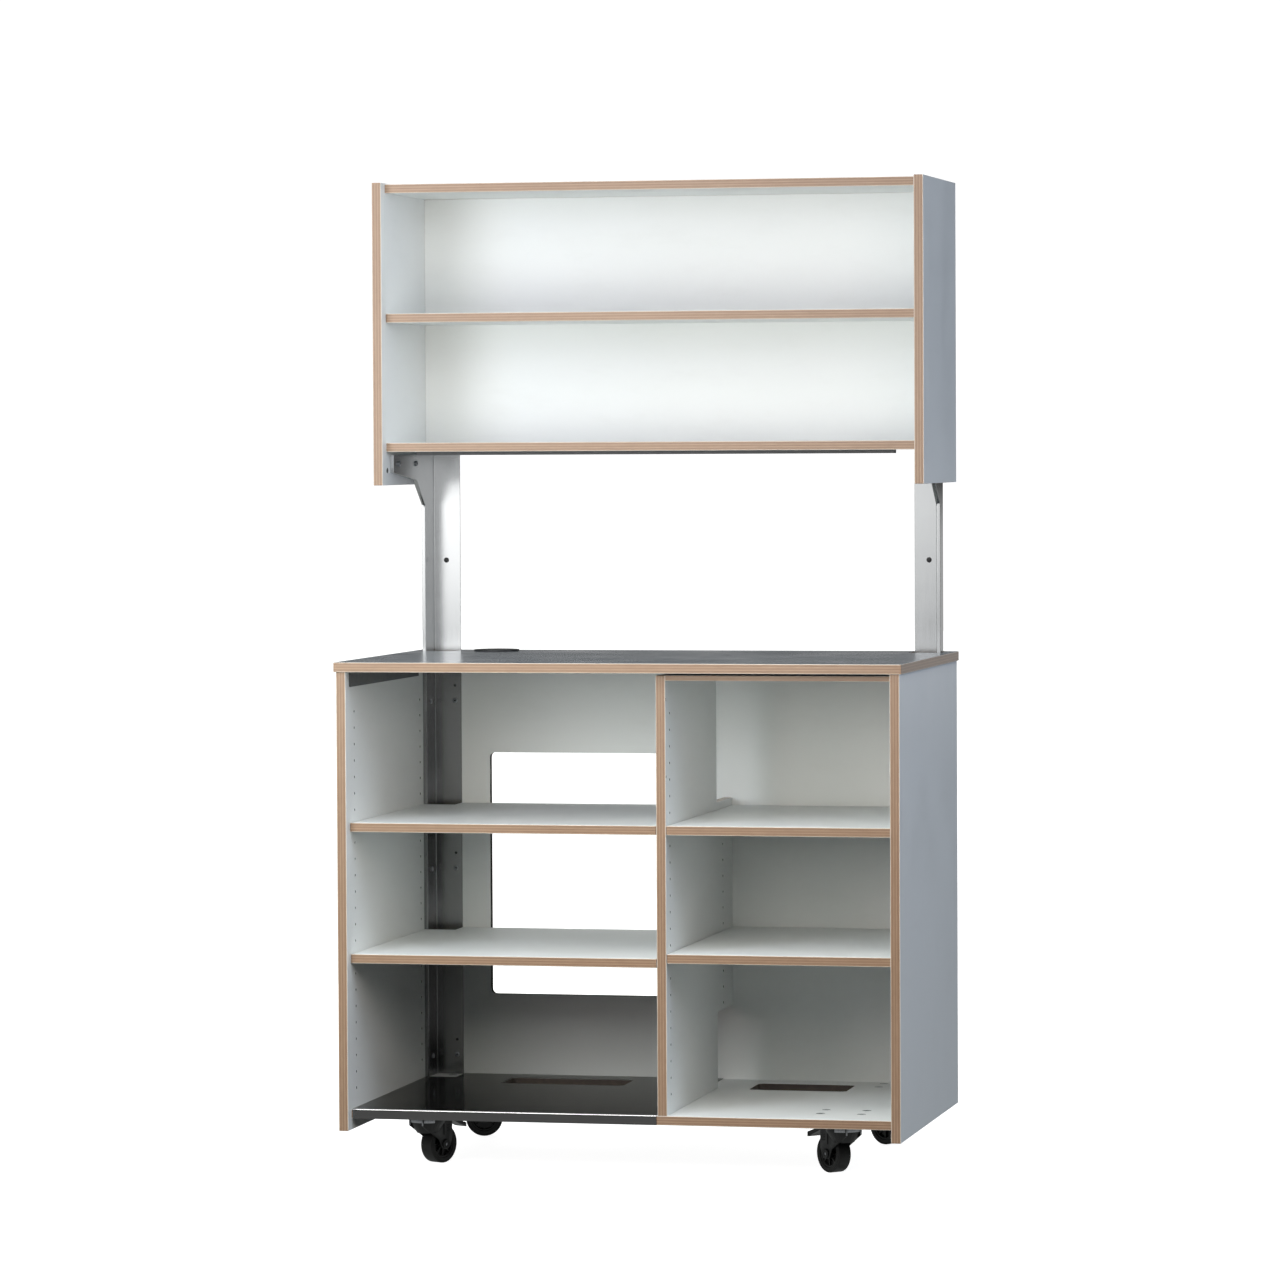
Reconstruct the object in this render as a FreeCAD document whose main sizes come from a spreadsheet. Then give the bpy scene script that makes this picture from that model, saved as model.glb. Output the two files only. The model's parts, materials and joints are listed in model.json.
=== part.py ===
import FreeCAD, Part
import math
import os
import re
import Sketcher

# Mobile kitchen cabinet: a base cabinet on castors, a worktop, two folded steel uprights
# and an open shelf cabinet carried on their arms. Millimetres, +Z up, +Y to the back,
# origin on the floor below the middle of the cabinet.

SIZES = {
    # carcass
    "cabinet_width": 1108,
    "panel_depth": 670,
    "panel_thickness": 19,
    "shelf_thickness": 18,
    "back_thickness": 15,
    "side_height": 893,
    "side_drop": 22,
    "front_setback": 25,
    "left_bay_width": 610,
    "worktop_gap": 5,
    "divider_notch_depth": 153,
    "low_notch_height": 152,
    "top_notch_height": 274,
    "edge_hole_radius": 3,
    "edge_hole_inset": 5,
    "edge_hole_drop": 46,
    "edge_hole_spacing": 149,
    "bay_top_thickness": 10,
    "bay_top_back_gap": 90,
    # worktop and its cable outlet
    "worktop_thickness": 19,
    "side_overhang": 4,
    "front_overhang": 4,
    "outlet_inset": 168,
    "outlet_back": 57,
    "outlet_radius": 40,
    "outlet_rim_radius": 46,
    "outlet_rim_height": 3,
    "outlet_rim_seat": 1.5,
    "outlet_wall": 4,
    "outlet_ledge": 3,
    "cap_thickness": 3.5,
    "cap_notch_width": 24,
    "cap_notch_depth": 18,
    "angle_leg": 30,
    "angle_sheet": 3,
    "angle_back_gap": 112,
    # back window and floor openings
    "window_inset": 123,
    "window_width": 364,
    "window_height": 496,
    "window_rise": 166,
    "window_corner": 10,
    "slot_depth": 110,
    "slot_corner": 12,
    "left_slot_width": 255,
    "left_slot_inset": 181,
    "left_slot_back": 54,
    "right_slot_width": 197,
    "right_slot_inset": 67,
    "right_slot_back": 64,
    # floor tray
    "tray_sheet": 1.5,
    "tray_gap": 2,
    # shelves, their pins and the rows of holes
    "shelf_gap": 1,
    "shelf_back_gap": 10,
    "hole_pitch": 32,
    "row_top_gap": 79,
    "row_front_inset": 37,
    "row_back_inset": 110,
    "right_shelf_lift": 9,
    "pin_radius": 2.5,
    "pin_length": 17,
    "pin_seat": 8,
    "fit_gap": 0.05,
    "end_gap": 0.5,
    "dowel_radius": 4,
    "dowel_length": 34,
    "dowel_seat": 12,
    # uprights
    "upright_sheet": 2.5,
    "upright_web": 58,
    "upright_flange": 70,
    "upright_lip": 5.5,
    "upright_top_gap": 6,
    "upright_cut_gap": 2,
    "arm_length": 245,
    "arm_front_height": 36,
    "arm_knee_height": 52,
    "arm_knee_reach": 68,
    "arm_root_height": 104,
    "web_hole_radius": 5,
    "web_hole_rise": 184,
    "web_hole_inset": 34,
    "flange_hole_radius": 3,
    "flange_hole_inset": 14,
    "screw_radius": 2.5,
    "screw_length": 14,
    "screw_head_radius": 5,
    "screw_head_height": 3,
    "screw_edge": 13,
    "spare_hole_rise": 31,
    "low_screw_rise": 40,
    "high_screw_drop": 80,
    "bolt_radius": 3,
    "bolt_length": 20,
    "bolt_head_radius": 5.5,
    "bolt_head_height": 4,
    # upper cabinet
    "upper_depth": 385,
    "upper_height": 600,
    "upper_rise": 340,
    "upper_drop": 66.5,
    "upper_top_step": 2,
    "upper_setback": 30,
    "upper_back_inset": 38,
    "upper_back_thickness": 10,
    "fixing_hole_radius": 4,
    "fixing_hole_inset": 34,
    "fixing_hole_rise": 29,
    "rail_end_gap": 51,
    "rail_depth": 20,
    "rail_height": 7,
    "rail_setback": 38,
    "rail_groove_width": 12,
    "rail_groove_depth": 3,
    # castors
    "castor_height": 102,
    "front_castor_inset": 138,
    "rear_castor_inset": 105,
    "front_castor_place": 150,
    "rear_castor_place": 68,
    "plate_length": 100,
    "plate_width": 82,
    "plate_sheet": 2.5,
    "bolt_spacing_long": 80,
    "bolt_spacing_short": 60,
    "castor_bolt_radius": 4,
    "castor_bolt_head_radius": 8,
    "castor_bolt_head_height": 4,
    "castor_nut_radius": 6.5,
    "castor_nut_height": 5.5,
    "nut_clearance": 2,
    "hole_play": 0.5,
    "race_radius": 29,
    "crown_radius": 35,
    "crown_height": 8,
    "swivel_gap": 0.3,
    "kingpin_radius": 6,
    "kingpin_head_radius": 10,
    "kingpin_head_height": 4,
    "trail": 33,
    "wheel_radius": 37.5,
    "wheel_width": 28,
    "hub_radius": 27,
    "hub_inset": 4,
    "hub_boss_radius": 10,
    "tread_round": 1.5,
    "wheel_gap": 1.5,
    "leg_sheet": 3.5,
    "axle_radius": 5,
    "axle_head_radius": 8,
    "axle_head_height": 2.5,
    "axle_nose": 10,
    "hood_front": 33,
    "hood_tail": 52,
    "hood_depth": 14,
    "leg_slope": 9,
    "hood_drop": 22,
    "hood_foot_radius": 20,
    "hood_pocket_gap": 2,
    "pedal_pivot": 43,
    "pedal_pivot_drop": 7,
    "pedal_barrel_radius": 4.5,
    "pedal_pin_radius": 2.5,
    "pedal_flat": 12,
    "pedal_reach": 55,
    "pedal_slope_drop": 14,
    "pedal_toe": 4,
    "pedal_sheet": 4,
    "pedal_gap": 0.5,
    "overrun": 5,
}

HOLES_IN_ROW = 24
# pitches counted down from the top of a row to the hole that carries each shelf
UPPER_SHELF_PITCH_COUNT = 7
LOWER_SHELF_PITCH_COUNT = 15
DOWEL_SHARES = (0.1, 0.48, 0.86)
UPPER_DOWEL_SHARES = (0.2, 0.8)
DIVIDER_DOWEL_SHARES = (0.15, 0.8)
BAY_TOP_PIN_SHARES = (0.08, 0.75)
UPPER_PIN_SHARES = (0.15, 0.85)
ARM_BOLT_SHARES = (0.16, 0.7)
# degrees from +X to the way each wheel trails behind its pivot
TRAIL_ANGLES = {"front_left": 62, "front_right": 137, "rear_left": 13, "rear_right": 150}
BRAKED = ("front_left", "front_right")

doc = FreeCAD.newDocument("kitchen_cabinet")
sheet = doc.addObject("Spreadsheet::Sheet", "sizes")
for row, (alias, value) in enumerate(SIZES.items(), start=1):
    sheet.set(f"A{row}", alias)
    sheet.set(f"B{row}", str(value))
    sheet.setAlias(f"B{row}", alias)
doc.recompute()

# Planes that several pieces share, as expressions of the sheet's sizes.
FRONT = "((front_overhang - panel_depth) / 2)"
BACK = f"({FRONT} + panel_depth)"
BACK_FACE = f"({BACK} - back_thickness)"
INNER = "(cabinet_width / 2 - panel_thickness)"
DIVIDER_LEFT = f"(left_bay_width - {INNER})"
DIVIDER_RIGHT = f"({DIVIDER_LEFT} + panel_thickness)"
INSIDE_FRONT = f"({FRONT} + front_setback)"
INSIDE_DEPTH = "(panel_depth - back_thickness - front_setback)"
BAY_TOP_DEPTH = f"({INSIDE_DEPTH} - bay_top_back_gap)"
FLOOR_TOP = "(castor_height + shelf_thickness)"
FOOT = "(castor_height - side_drop)"
WORKTOP_UNDER = f"({FOOT} + side_height)"
WORKTOP_TOP = f"({WORKTOP_UNDER} + worktop_thickness)"
BAY_TOP = f"({WORKTOP_UNDER} - worktop_gap)"
FRONT_ROW = f"({INSIDE_FRONT} + row_front_inset)"
BACK_ROW = f"({BACK} - row_back_inset)"
UPPER_FOOT = f"({WORKTOP_TOP} + upper_rise)"
UPPER_FRONT = f"({BACK} - upper_depth)"
UPPER_INSIDE = f"({UPPER_FRONT} + upper_setback)"
UPPER_UNDER = f"({UPPER_FOOT} + upper_drop)"
UPPER_FLOOR = f"({UPPER_UNDER} + shelf_thickness)"
UPPER_ROOF = f"({UPPER_FOOT} + upper_height - upper_top_step - shelf_thickness)"
UPPER_BACK_FACE = f"({BACK} - upper_back_inset - upper_back_thickness)"
FLANGE_OUT = f"({INNER} - upright_lip)"
FLANGE_IN = f"({FLANGE_OUT} - upright_sheet)"
WEB_EDGE = f"({FLANGE_OUT} - upright_web)"
LIP_FRONT = f"({BACK_FACE} - upright_flange)"
ARM_TOP = f"({UPPER_UNDER} - upright_top_gap)"
PLATE_UNDER = "(castor_height - plate_sheet)"
CROWN_TOP = f"({PLATE_UNDER} - castor_nut_height - nut_clearance)"
CROWN_UNDER = f"({CROWN_TOP} - crown_height)"
LEG_INNER = "(wheel_width / 2 + wheel_gap)"
PEDAL_PIVOT_Z = f"({CROWN_TOP} - pedal_pivot_drop)"
SCREW_RISES = (
    f"({FLOOR_TOP} + low_screw_rise)",
    f"(({FLOOR_TOP} + {BAY_TOP}) / 2)",
    f"({BAY_TOP} - high_screw_drop)",
)

nodes = []


def tie(expression):
    """The expression with each size read from the sheet."""
    return re.sub(r"[a-z][a-z_]*", lambda word: "sizes." + word.group(), expression)


def bind(item, name, expression):
    item.setExpression(name, tie(expression))


def place(item, x="0", y="0", z="0"):
    for axis, expression in zip("xyz", (x, y, z)):
        bind(item, f"Placement.Base.{axis}", expression)
    return item


def node(label, item):
    item.Label = label
    nodes.append(item)
    return item


def box(size, corner):
    item = doc.addObject("Part::Box", "block")
    for name, expression in zip(("Length", "Width", "Height"), size):
        bind(item, name, expression)
    return place(item, *corner)


TURNS = {
    "x": FreeCAD.Rotation(FreeCAD.Vector(0, 1, 0), 90),
    "y": FreeCAD.Rotation(FreeCAD.Vector(1, 0, 0), -90),
    "z": FreeCAD.Rotation(),
}


def rod(radius, length, start, axis="z"):
    """A cylinder from start along +axis."""
    item = doc.addObject("Part::Cylinder", "rod")
    bind(item, "Radius", radius)
    bind(item, "Height", length)
    item.Placement = FreeCAD.Placement(FreeCAD.Vector(), TURNS[axis])
    return place(item, *start)


def taper(foot_radius, top_radius, height, start):
    """An upright cone stump from start."""
    item = doc.addObject("Part::Cone", "taper")
    bind(item, "Radius1", foot_radius)
    bind(item, "Radius2", top_radius)
    bind(item, "Height", height)
    return place(item, *start)


def group(items):
    item = doc.addObject("Part::Compound", "group")
    item.Links = items
    return item


def fuse(items):
    item = doc.addObject("Part::MultiFuse", "fused")
    item.Shapes = items
    return item


def cut(base, tools):
    item = doc.addObject("Part::Cut", "cut")
    item.Base = base
    item.Tool = tools[0] if len(tools) == 1 else group(tools)
    return item


def plate(points, thickness, plane, start=("0", "0", "0"), centred=False):
    """A flat piece: a closed outline of points, written as expressions, padded to its thickness."""
    body = doc.addObject("PartDesign::Body", "plate")
    sketch = body.newObject("Sketcher::SketchObject", "outline")
    role = {"xy": "XY_Plane", "xz": "XZ_Plane", "yz": "YZ_Plane"}[plane]
    support = [item for item in body.Origin.OriginFeatures if item.Role == role][0]
    sketch.AttachmentSupport = [(support, "")]
    sketch.MapMode = "FlatFace"
    values = [tuple(value_of(text) for text in point) for point in points]
    corners = [FreeCAD.Vector(u, v, 0) for u, v in values]
    for first, second in zip(corners, corners[1:] + corners[:1]):
        sketch.addGeometry(Part.LineSegment(first, second), False)
    for index in range(len(corners)):
        following = (index + 1) % len(corners)
        sketch.addConstraint(Sketcher.Constraint("Coincident", index, 2, following, 1))
    for index, point in enumerate(points):
        for kind, text, value in zip(("DistanceX", "DistanceY"), point, values[index]):
            number = sketch.addConstraint(Sketcher.Constraint(kind, -1, 1, index, 1, value))
            sketch.setExpression(f"Constraints[{number}]", tie(text))
    pad = body.newObject("PartDesign::Pad", "pad")
    pad.Profile = sketch
    bind(pad, "Length", thickness)
    pad.Midplane = centred
    return place(body, *start)


def value_of(expression):
    """The number that an expression has now."""
    return float(sheet.evalExpression(tie(expression)))


def mirror_x(side, inner, length):
    """Lower x of a piece whose outer end lies at +-inner and runs length towards the middle."""
    return f"-({inner})" if side == "left" else f"({inner}) - ({length})"


def rounded_cut(width, depth, height, corner, radius, axis):
    """A cutter with a rectangular section and round corners, along z or y."""
    x, y, z = corner
    bars = [box((f"{width} - 2 * {radius}", depth, height), (f"{x} + {radius}", y, z))]
    if axis == "z":
        bars.append(box((width, f"{depth} - 2 * {radius}", height), (x, f"{y} + {radius}", z)))
    else:
        bars.append(box((width, depth, f"{height} - 2 * {radius}"), (x, y, f"{z} + {radius}")))
    for u in (radius, f"{width} - {radius}"):
        for v in (radius, f"{depth if axis == 'z' else height} - {radius}"):
            if axis == "z":
                bars.append(rod(radius, height, (f"{x} + {u}", f"{y} + {v}", z)))
            else:
                bars.append(rod(radius, depth, (f"{x} + {u}", y, f"{z} + {v}"), "y"))
    return fuse(bars)


PIN_FIT = "(pin_radius + fit_gap)"
DOWEL_FIT = "(dowel_radius + fit_gap)"
SCREW_FIT = "(screw_radius + fit_gap)"
pins = []
pin_bores = {}
dowels = []
dowel_bores = {}


def pin_hole(wall, x, y, z):
    """A shelf hole in a wall whose face lies at x; the board is on the +x side of a left wall."""
    depth = "(pin_seat + end_gap)"
    start = f"{x} - {depth}" if wall == "left" else x
    return rod(PIN_FIT, depth, (start, y, z), "x")


def hole_rows(wall, x):
    holes = []
    for y in (FRONT_ROW, BACK_ROW):
        for index in range(HOLES_IN_ROW):
            holes.append(pin_hole(wall, x, y, f"{WORKTOP_UNDER} - row_top_gap - {index} * hole_pitch"))
    return holes


def support_pins(board, left_face, right_face, places, z):
    """Pins between two walls and the ends of a board, with the board's own bores."""
    for wall, x in (("left", left_face), ("right", right_face)):
        reach = "pin_seat" if wall == "left" else "(pin_length - pin_seat)"
        for y in places:
            pins.append(rod("pin_radius", "pin_length", (f"{x} - {reach}", y, z), "x"))
            start = f"{x} - {reach} - end_gap"
            bore = rod(PIN_FIT, "pin_length + 2 * end_gap", (start, y, z), "x")
            pin_bores.setdefault(board, []).append(bore)


def end_dowels(board, places, z):
    """Dowels between the side panels and the ends of a board that meets them."""
    for wall in ("left", "right"):
        x = f"-{INNER} - dowel_seat" if wall == "left" else f"{INNER} - dowel_length + dowel_seat"
        for y in places:
            dowels.append(rod("dowel_radius", "dowel_length", (x, y, z), "x"))
            bore = (f"{x} - end_gap", y, z)
            for owner in (board, f"{wall}_{board}"):
                cutter = rod(DOWEL_FIT, "dowel_length + 2 * end_gap", bore, "x")
                dowel_bores.setdefault(owner, []).append(cutter)


def share_places(start, length, shares):
    return [f"{start} + {share} * ({length})" for share in shares]


# Boards carried on pins or dowels, worked out first because their walls take the same bores.
shelf_z = {}
for level, count in (("upper", UPPER_SHELF_PITCH_COUNT), ("lower", LOWER_SHELF_PITCH_COUNT)):
    shelf_z["left", level] = f"({WORKTOP_UNDER} - row_top_gap - {count} * hole_pitch)"
    shelf_z["right", level] = shelf_z["left", level]
shelf_z["right", "lower"] = f"({shelf_z['left', 'lower']} + right_shelf_lift)"
bay_faces = {"left": (f"-{INNER}", DIVIDER_LEFT), "right": (DIVIDER_RIGHT, INNER)}
for (bay, level), z in shelf_z.items():
    support_pins(f"{level}_{bay}_shelf", *bay_faces[bay], (FRONT_ROW, BACK_ROW), z)
BAY_TOP_MIDDLE = f"({BAY_TOP} - bay_top_thickness / 2)"
bay_top_pin_places = share_places(INSIDE_FRONT, BAY_TOP_DEPTH, BAY_TOP_PIN_SHARES)
support_pins("bay_top_panel", *bay_faces["right"], bay_top_pin_places, BAY_TOP_MIDDLE)
UPPER_SHELF_DEPTH = f"({UPPER_BACK_FACE} - {UPPER_INSIDE})"
UPPER_SHELF_MIDDLE = f"(({UPPER_FLOOR} + {UPPER_ROOF}) / 2)"
upper_pin_places = share_places(UPPER_INSIDE, UPPER_SHELF_DEPTH, UPPER_PIN_SHARES)
support_pins("upper_middle_shelf", f"-{INNER}", INNER, upper_pin_places, UPPER_SHELF_MIDDLE)
FLOOR_MIDDLE = "(castor_height + shelf_thickness / 2)"
end_dowels("base_panel", share_places(INSIDE_FRONT, INSIDE_DEPTH, DOWEL_SHARES), FLOOR_MIDDLE)
UPPER_INSIDE_DEPTH = "(upper_depth - upper_setback)"
upper_dowel_places = share_places(UPPER_INSIDE, UPPER_INSIDE_DEPTH, UPPER_DOWEL_SHARES)
for board, z in (("upper_bottom_panel", f"{UPPER_UNDER} + shelf_thickness / 2"),
                 ("upper_top_panel", f"{UPPER_ROOF} + shelf_thickness / 2")):
    end_dowels(board, upper_dowel_places, z)

# Screws that hold the uprights to the back panel and the side panels.
FLANGE_SCREW_Y = f"({LIP_FRONT} + upright_flange / 2)"
WEB_SCREW_X = f"({WEB_EDGE} + screw_edge)"
screws = []
screw_bores = {}


def screw(x, y, z, axis, sign):
    """A pan-head screw whose head seats at the point and whose shank runs along sign * axis."""
    index = "xyz".index(axis)
    head = [x, y, z]
    shank = [x, y, z]
    if sign > 0:
        head[index] = f"{head[index]} - screw_head_height"
    else:
        shank[index] = f"{shank[index]} - screw_length"
    return fuse([rod("screw_head_radius", "screw_head_height", head, axis),
                 rod("screw_radius", "screw_length", shank, axis)])


def screw_bore(x, y, z, axis, sign):
    start = [x, y, z]
    start["xyz".index(axis)] += " - end_gap" if sign > 0 else " - screw_length - end_gap"
    return rod(SCREW_FIT, "screw_length + 2 * end_gap", start, axis)


for side, sign in (("left", -1), ("right", 1)):
    web_x = f"{sign} * {WEB_SCREW_X}"
    for z in SCREW_RISES:
        web = (web_x, f"{BACK_FACE} - upright_sheet", z, "y", 1)
        flange = (f"{sign} * {FLANGE_IN}", FLANGE_SCREW_Y, z, "x", sign)
        screws += [screw(*web), screw(*flange)]
        for owner, spot in (("back", web), ("upright", web), ("upright", flange), ("side", flange)):
            screw_bores.setdefault((owner, side), []).append(screw_bore(*spot))
back_bores = screw_bores["back", "left"] + screw_bores["back", "right"]
node("upright_screws", group(screws))

# Bolts from the arms into the upper side panels.
bolts = []
bolt_bores = {}
for side, sign in (("left", -1), ("right", 1)):
    for y in share_places(f"{LIP_FRONT} - arm_length", "arm_length", ARM_BOLT_SHARES):
        z = f"{ARM_TOP} - arm_front_height / 2"
        head_x = f"{sign} * {FLANGE_IN}"
        lower = "" if sign > 0 else " - bolt_length"
        head_start = f"{head_x} - bolt_head_height" if sign > 0 else head_x
        bolts.append(fuse([rod("bolt_head_radius", "bolt_head_height", (head_start, y, z), "x"),
                           rod("bolt_radius", "bolt_length", (f"{head_x}{lower}", y, z), "x")]))
        for owner in ("upright", "upper_side"):
            bore_start = f"{head_x}{lower} - end_gap"
            bore = rod("bolt_radius + fit_gap", "bolt_length + 2 * end_gap", (bore_start, y, z), "x")
            bolt_bores.setdefault((owner, side), []).append(bore)
node("arm_bolts", group(bolts))

# Side panels, divider, floor, back and bay top.
for side in ("left", "right"):
    face = f"-{INNER}" if side == "left" else INNER
    blank = box(("panel_thickness", "panel_depth", "side_height"),
                (mirror_x(side, "cabinet_width / 2", "panel_thickness"), FRONT, FOOT))
    tools = hole_rows(side, face) + dowel_bores[f"{side}_base_panel"] + screw_bores["side", side]
    if side == "right":
        tools += [pin_hole(side, face, y, shelf_z["right", "lower"]) for y in (FRONT_ROW, BACK_ROW)]
        tools += [pin_hole(side, face, y, BAY_TOP_MIDDLE) for y in bay_top_pin_places]
    node(f"{side}_side_panel", cut(blank, tools))

divider_height = f"({BAY_TOP} - {FLOOR_TOP})"
notch_front = f"({INSIDE_DEPTH} - divider_notch_depth)"
divider_outline = [
    ("0", "0"),
    (notch_front, "0"),
    (notch_front, "low_notch_height"),
    (INSIDE_DEPTH, "low_notch_height"),
    (INSIDE_DEPTH, f"{divider_height} - top_notch_height"),
    (notch_front, f"{divider_height} - top_notch_height"),
    (notch_front, divider_height),
    ("0", divider_height),
]
divider = plate(divider_outline, "panel_thickness", "yz", (DIVIDER_LEFT, INSIDE_FRONT, FLOOR_TOP))
divider_dowel_y = share_places(INSIDE_FRONT, notch_front, DIVIDER_DOWEL_SHARES)
DIVIDER_MIDDLE = f"({DIVIDER_LEFT} + panel_thickness / 2)"
divider_bores = []
floor_bores = []
for y in divider_dowel_y:
    start = f"{FLOOR_TOP} - dowel_seat"
    dowels.append(rod("dowel_radius", "dowel_length", (DIVIDER_MIDDLE, y, start)))
    for bores in (divider_bores, floor_bores):
        spot = (DIVIDER_MIDDLE, y, f"{start} - end_gap")
        bores.append(rod(DOWEL_FIT, "dowel_length + 2 * end_gap", spot))
divider_tools = hole_rows("right", DIVIDER_LEFT) + hole_rows("left", DIVIDER_RIGHT) + divider_bores
for drop in ("edge_hole_drop", "(edge_hole_drop + edge_hole_spacing)"):
    edge_spot = (f"{DIVIDER_RIGHT} - pin_seat", f"{INSIDE_FRONT} + edge_hole_inset", f"{BAY_TOP} - {drop}")
    divider_tools.append(rod("edge_hole_radius", "pin_seat + overrun", edge_spot, "x"))
for y in (FRONT_ROW, BACK_ROW):
    divider_tools.append(pin_hole("left", DIVIDER_RIGHT, y, shelf_z["right", "lower"]))
for y in bay_top_pin_places:
    divider_tools.append(pin_hole("left", DIVIDER_RIGHT, y, BAY_TOP_MIDDLE))
node("divider_panel", cut(divider, divider_tools))
node("panel_dowels", group(dowels))
node("shelf_pins", group(pins))

castor_places = {}
for name in TRAIL_ANGLES:
    end, side = name.split("_")
    sign = "-1" if side == "left" else "1"
    x = f"({sign} * (cabinet_width / 2 - {end}_castor_inset))"
    y = f"({FRONT} + front_castor_place)" if end == "front" else f"({BACK} - rear_castor_place)"
    castor_places[name] = (x, y)


def castor_bolt_spots(name):
    x, y = castor_places[name]
    return [(f"{x} + {u} * bolt_spacing_long / 2", f"{y} + {v} * bolt_spacing_short / 2")
            for u in (-1, 1) for v in (-1, 1)]


SLOT_BELOW = "(castor_height - overrun)"
SLOT_HEIGHT = "(shelf_thickness + tray_sheet + 2 * overrun)"
left_slot = (f"left_slot_inset - {INNER}", f"{BACK_FACE} - left_slot_back - slot_depth", SLOT_BELOW)
right_slot = (f"{DIVIDER_RIGHT} + right_slot_inset", f"{BACK_FACE} - right_slot_back - slot_depth",
              SLOT_BELOW)


def slot_cutter(side):
    corner = left_slot if side == "left" else right_slot
    return rounded_cut(f"{side}_slot_width", "slot_depth", SLOT_HEIGHT, corner, "slot_corner", "z")


floor_tools = dowel_bores["base_panel"] + floor_bores + [slot_cutter("left"), slot_cutter("right")]
castor_bolts = []
HEAD_SEAT = f"({FLOOR_TOP} - castor_bolt_head_height)"
for name in castor_places:
    for x, y in castor_bolt_spots(name):
        bolt_end = f"({PLATE_UNDER} - castor_nut_height)"
        shank = rod("castor_bolt_radius", f"{HEAD_SEAT} - {bolt_end}", (x, y, bolt_end))
        head = rod("castor_bolt_head_radius", "castor_bolt_head_height", (x, y, HEAD_SEAT))
        nut = rod("castor_nut_radius", "castor_nut_height", (x, y, bolt_end))
        castor_bolts.append(fuse([shank, head, nut]))
        floor_tools.append(fuse([
            rod("castor_bolt_radius + hole_play", "shelf_thickness + overrun", (x, y, SLOT_BELOW)),
            rod("castor_bolt_head_radius + hole_play", "castor_bolt_head_height + overrun",
                (x, y, HEAD_SEAT)),
        ]))
floor = box((f"2 * {INNER}", INSIDE_DEPTH, "shelf_thickness"),
            (f"-{INNER}", INSIDE_FRONT, "castor_height"))
node("base_panel", cut(floor, floor_tools))
node("castor_bolts", group(castor_bolts))

window = rounded_cut("window_width", "back_thickness + 2 * overrun", "window_height",
                     (f"window_inset - {INNER}", f"{BACK_FACE} - overrun", f"{FLOOR_TOP} + window_rise"),
                     "window_corner", "y")
back = box((f"2 * {INNER}", "back_thickness", f"{WORKTOP_UNDER} - castor_height"),
           (f"-{INNER}", BACK_FACE, "castor_height"))
node("base_back_panel", cut(back, [window] + back_bores))
BAY_TOP_WIDTH = f"({INNER} - {DIVIDER_RIGHT})"
bay_top = box((BAY_TOP_WIDTH, BAY_TOP_DEPTH, "bay_top_thickness"),
              (DIVIDER_RIGHT, INSIDE_FRONT, f"{BAY_TOP} - bay_top_thickness"))
node("bay_top_panel", cut(bay_top, pin_bores["bay_top_panel"]))


def upright_gap_cutter(side, below, height):
    """The room that a board leaves round an upright."""
    width = f"{INNER} - {WEB_EDGE} + upright_cut_gap"
    depth = "upright_flange + 2 * upright_cut_gap"
    corner = (mirror_x(side, INNER, width), f"{LIP_FRONT} - upright_cut_gap", below)
    return box((width, depth, height), corner)


# Shelves, cut out at the back corner round the upright.
for (bay, level), z in shelf_z.items():
    low, high = bay_faces[bay]
    under = f"({z} - shelf_thickness / 2)"
    shelf_size = (f"{high} - ({low}) - 2 * shelf_gap", f"{INSIDE_DEPTH} - shelf_back_gap", "shelf_thickness")
    blank = box(shelf_size, (f"{low} + shelf_gap", INSIDE_FRONT, under))
    corner = upright_gap_cutter(bay, f"{under} - overrun", "shelf_thickness + 2 * overrun")
    shelf = f"{level}_{bay}_shelf"
    node(shelf, cut(blank, [corner] + pin_bores[shelf]))

# Floor tray: a steel sheet over the left bay's floor, folded down over its front edge.
tray_width = "(left_bay_width - 2 * tray_gap)"
tray_floor = box((tray_width, f"{INSIDE_DEPTH} + tray_sheet", "tray_sheet"),
                 (f"tray_gap - {INNER}", f"{INSIDE_FRONT} - tray_sheet", FLOOR_TOP))
tray_front = box((tray_width, "tray_sheet", "shelf_thickness + tray_sheet"),
                 (f"tray_gap - {INNER}", f"{INSIDE_FRONT} - tray_sheet", "castor_height"))
tray_corner = upright_gap_cutter("left", f"{FLOOR_TOP} - overrun", "tray_sheet + 2 * overrun")
node("floor_tray", cut(fuse([tray_floor, tray_front]), [tray_corner, slot_cutter("left")]))

# Worktop with room for the uprights and the cable outlet, and the angle below it.
top = box(("cabinet_width + 2 * side_overhang", "panel_depth + front_overhang", "worktop_thickness"),
          ("-cabinet_width / 2 - side_overhang", f"{FRONT} - front_overhang", WORKTOP_UNDER))
through = "worktop_thickness + 2 * overrun"
OUTLET = ("outlet_inset - cabinet_width / 2", f"{BACK} - outlet_back")
top_tools = [upright_gap_cutter(side, f"{WORKTOP_UNDER} - overrun", through) for side in ("left", "right")]
top_tools.append(rod("outlet_radius + hole_play", through, (*OUTLET, f"{WORKTOP_UNDER} - overrun")))
RIM_SEAT = f"({WORKTOP_TOP} - outlet_rim_seat)"
top_tools.append(rod("outlet_rim_radius + hole_play", "outlet_rim_seat + overrun", (*OUTLET, RIM_SEAT)))
node("worktop", cut(top, top_tools))
angle_place = (f"-{INNER}", INSIDE_FRONT, f"{WORKTOP_UNDER} - angle_leg")
angle_top = (f"-{INNER}", INSIDE_FRONT, f"{WORKTOP_UNDER} - angle_sheet")
angle_length = f"{INSIDE_DEPTH} - angle_back_gap"
node("worktop_angle", fuse([box(("angle_sheet", angle_length, "angle_leg"), angle_place),
                            box(("angle_leg", angle_length, "angle_sheet"), angle_top)]))

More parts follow.
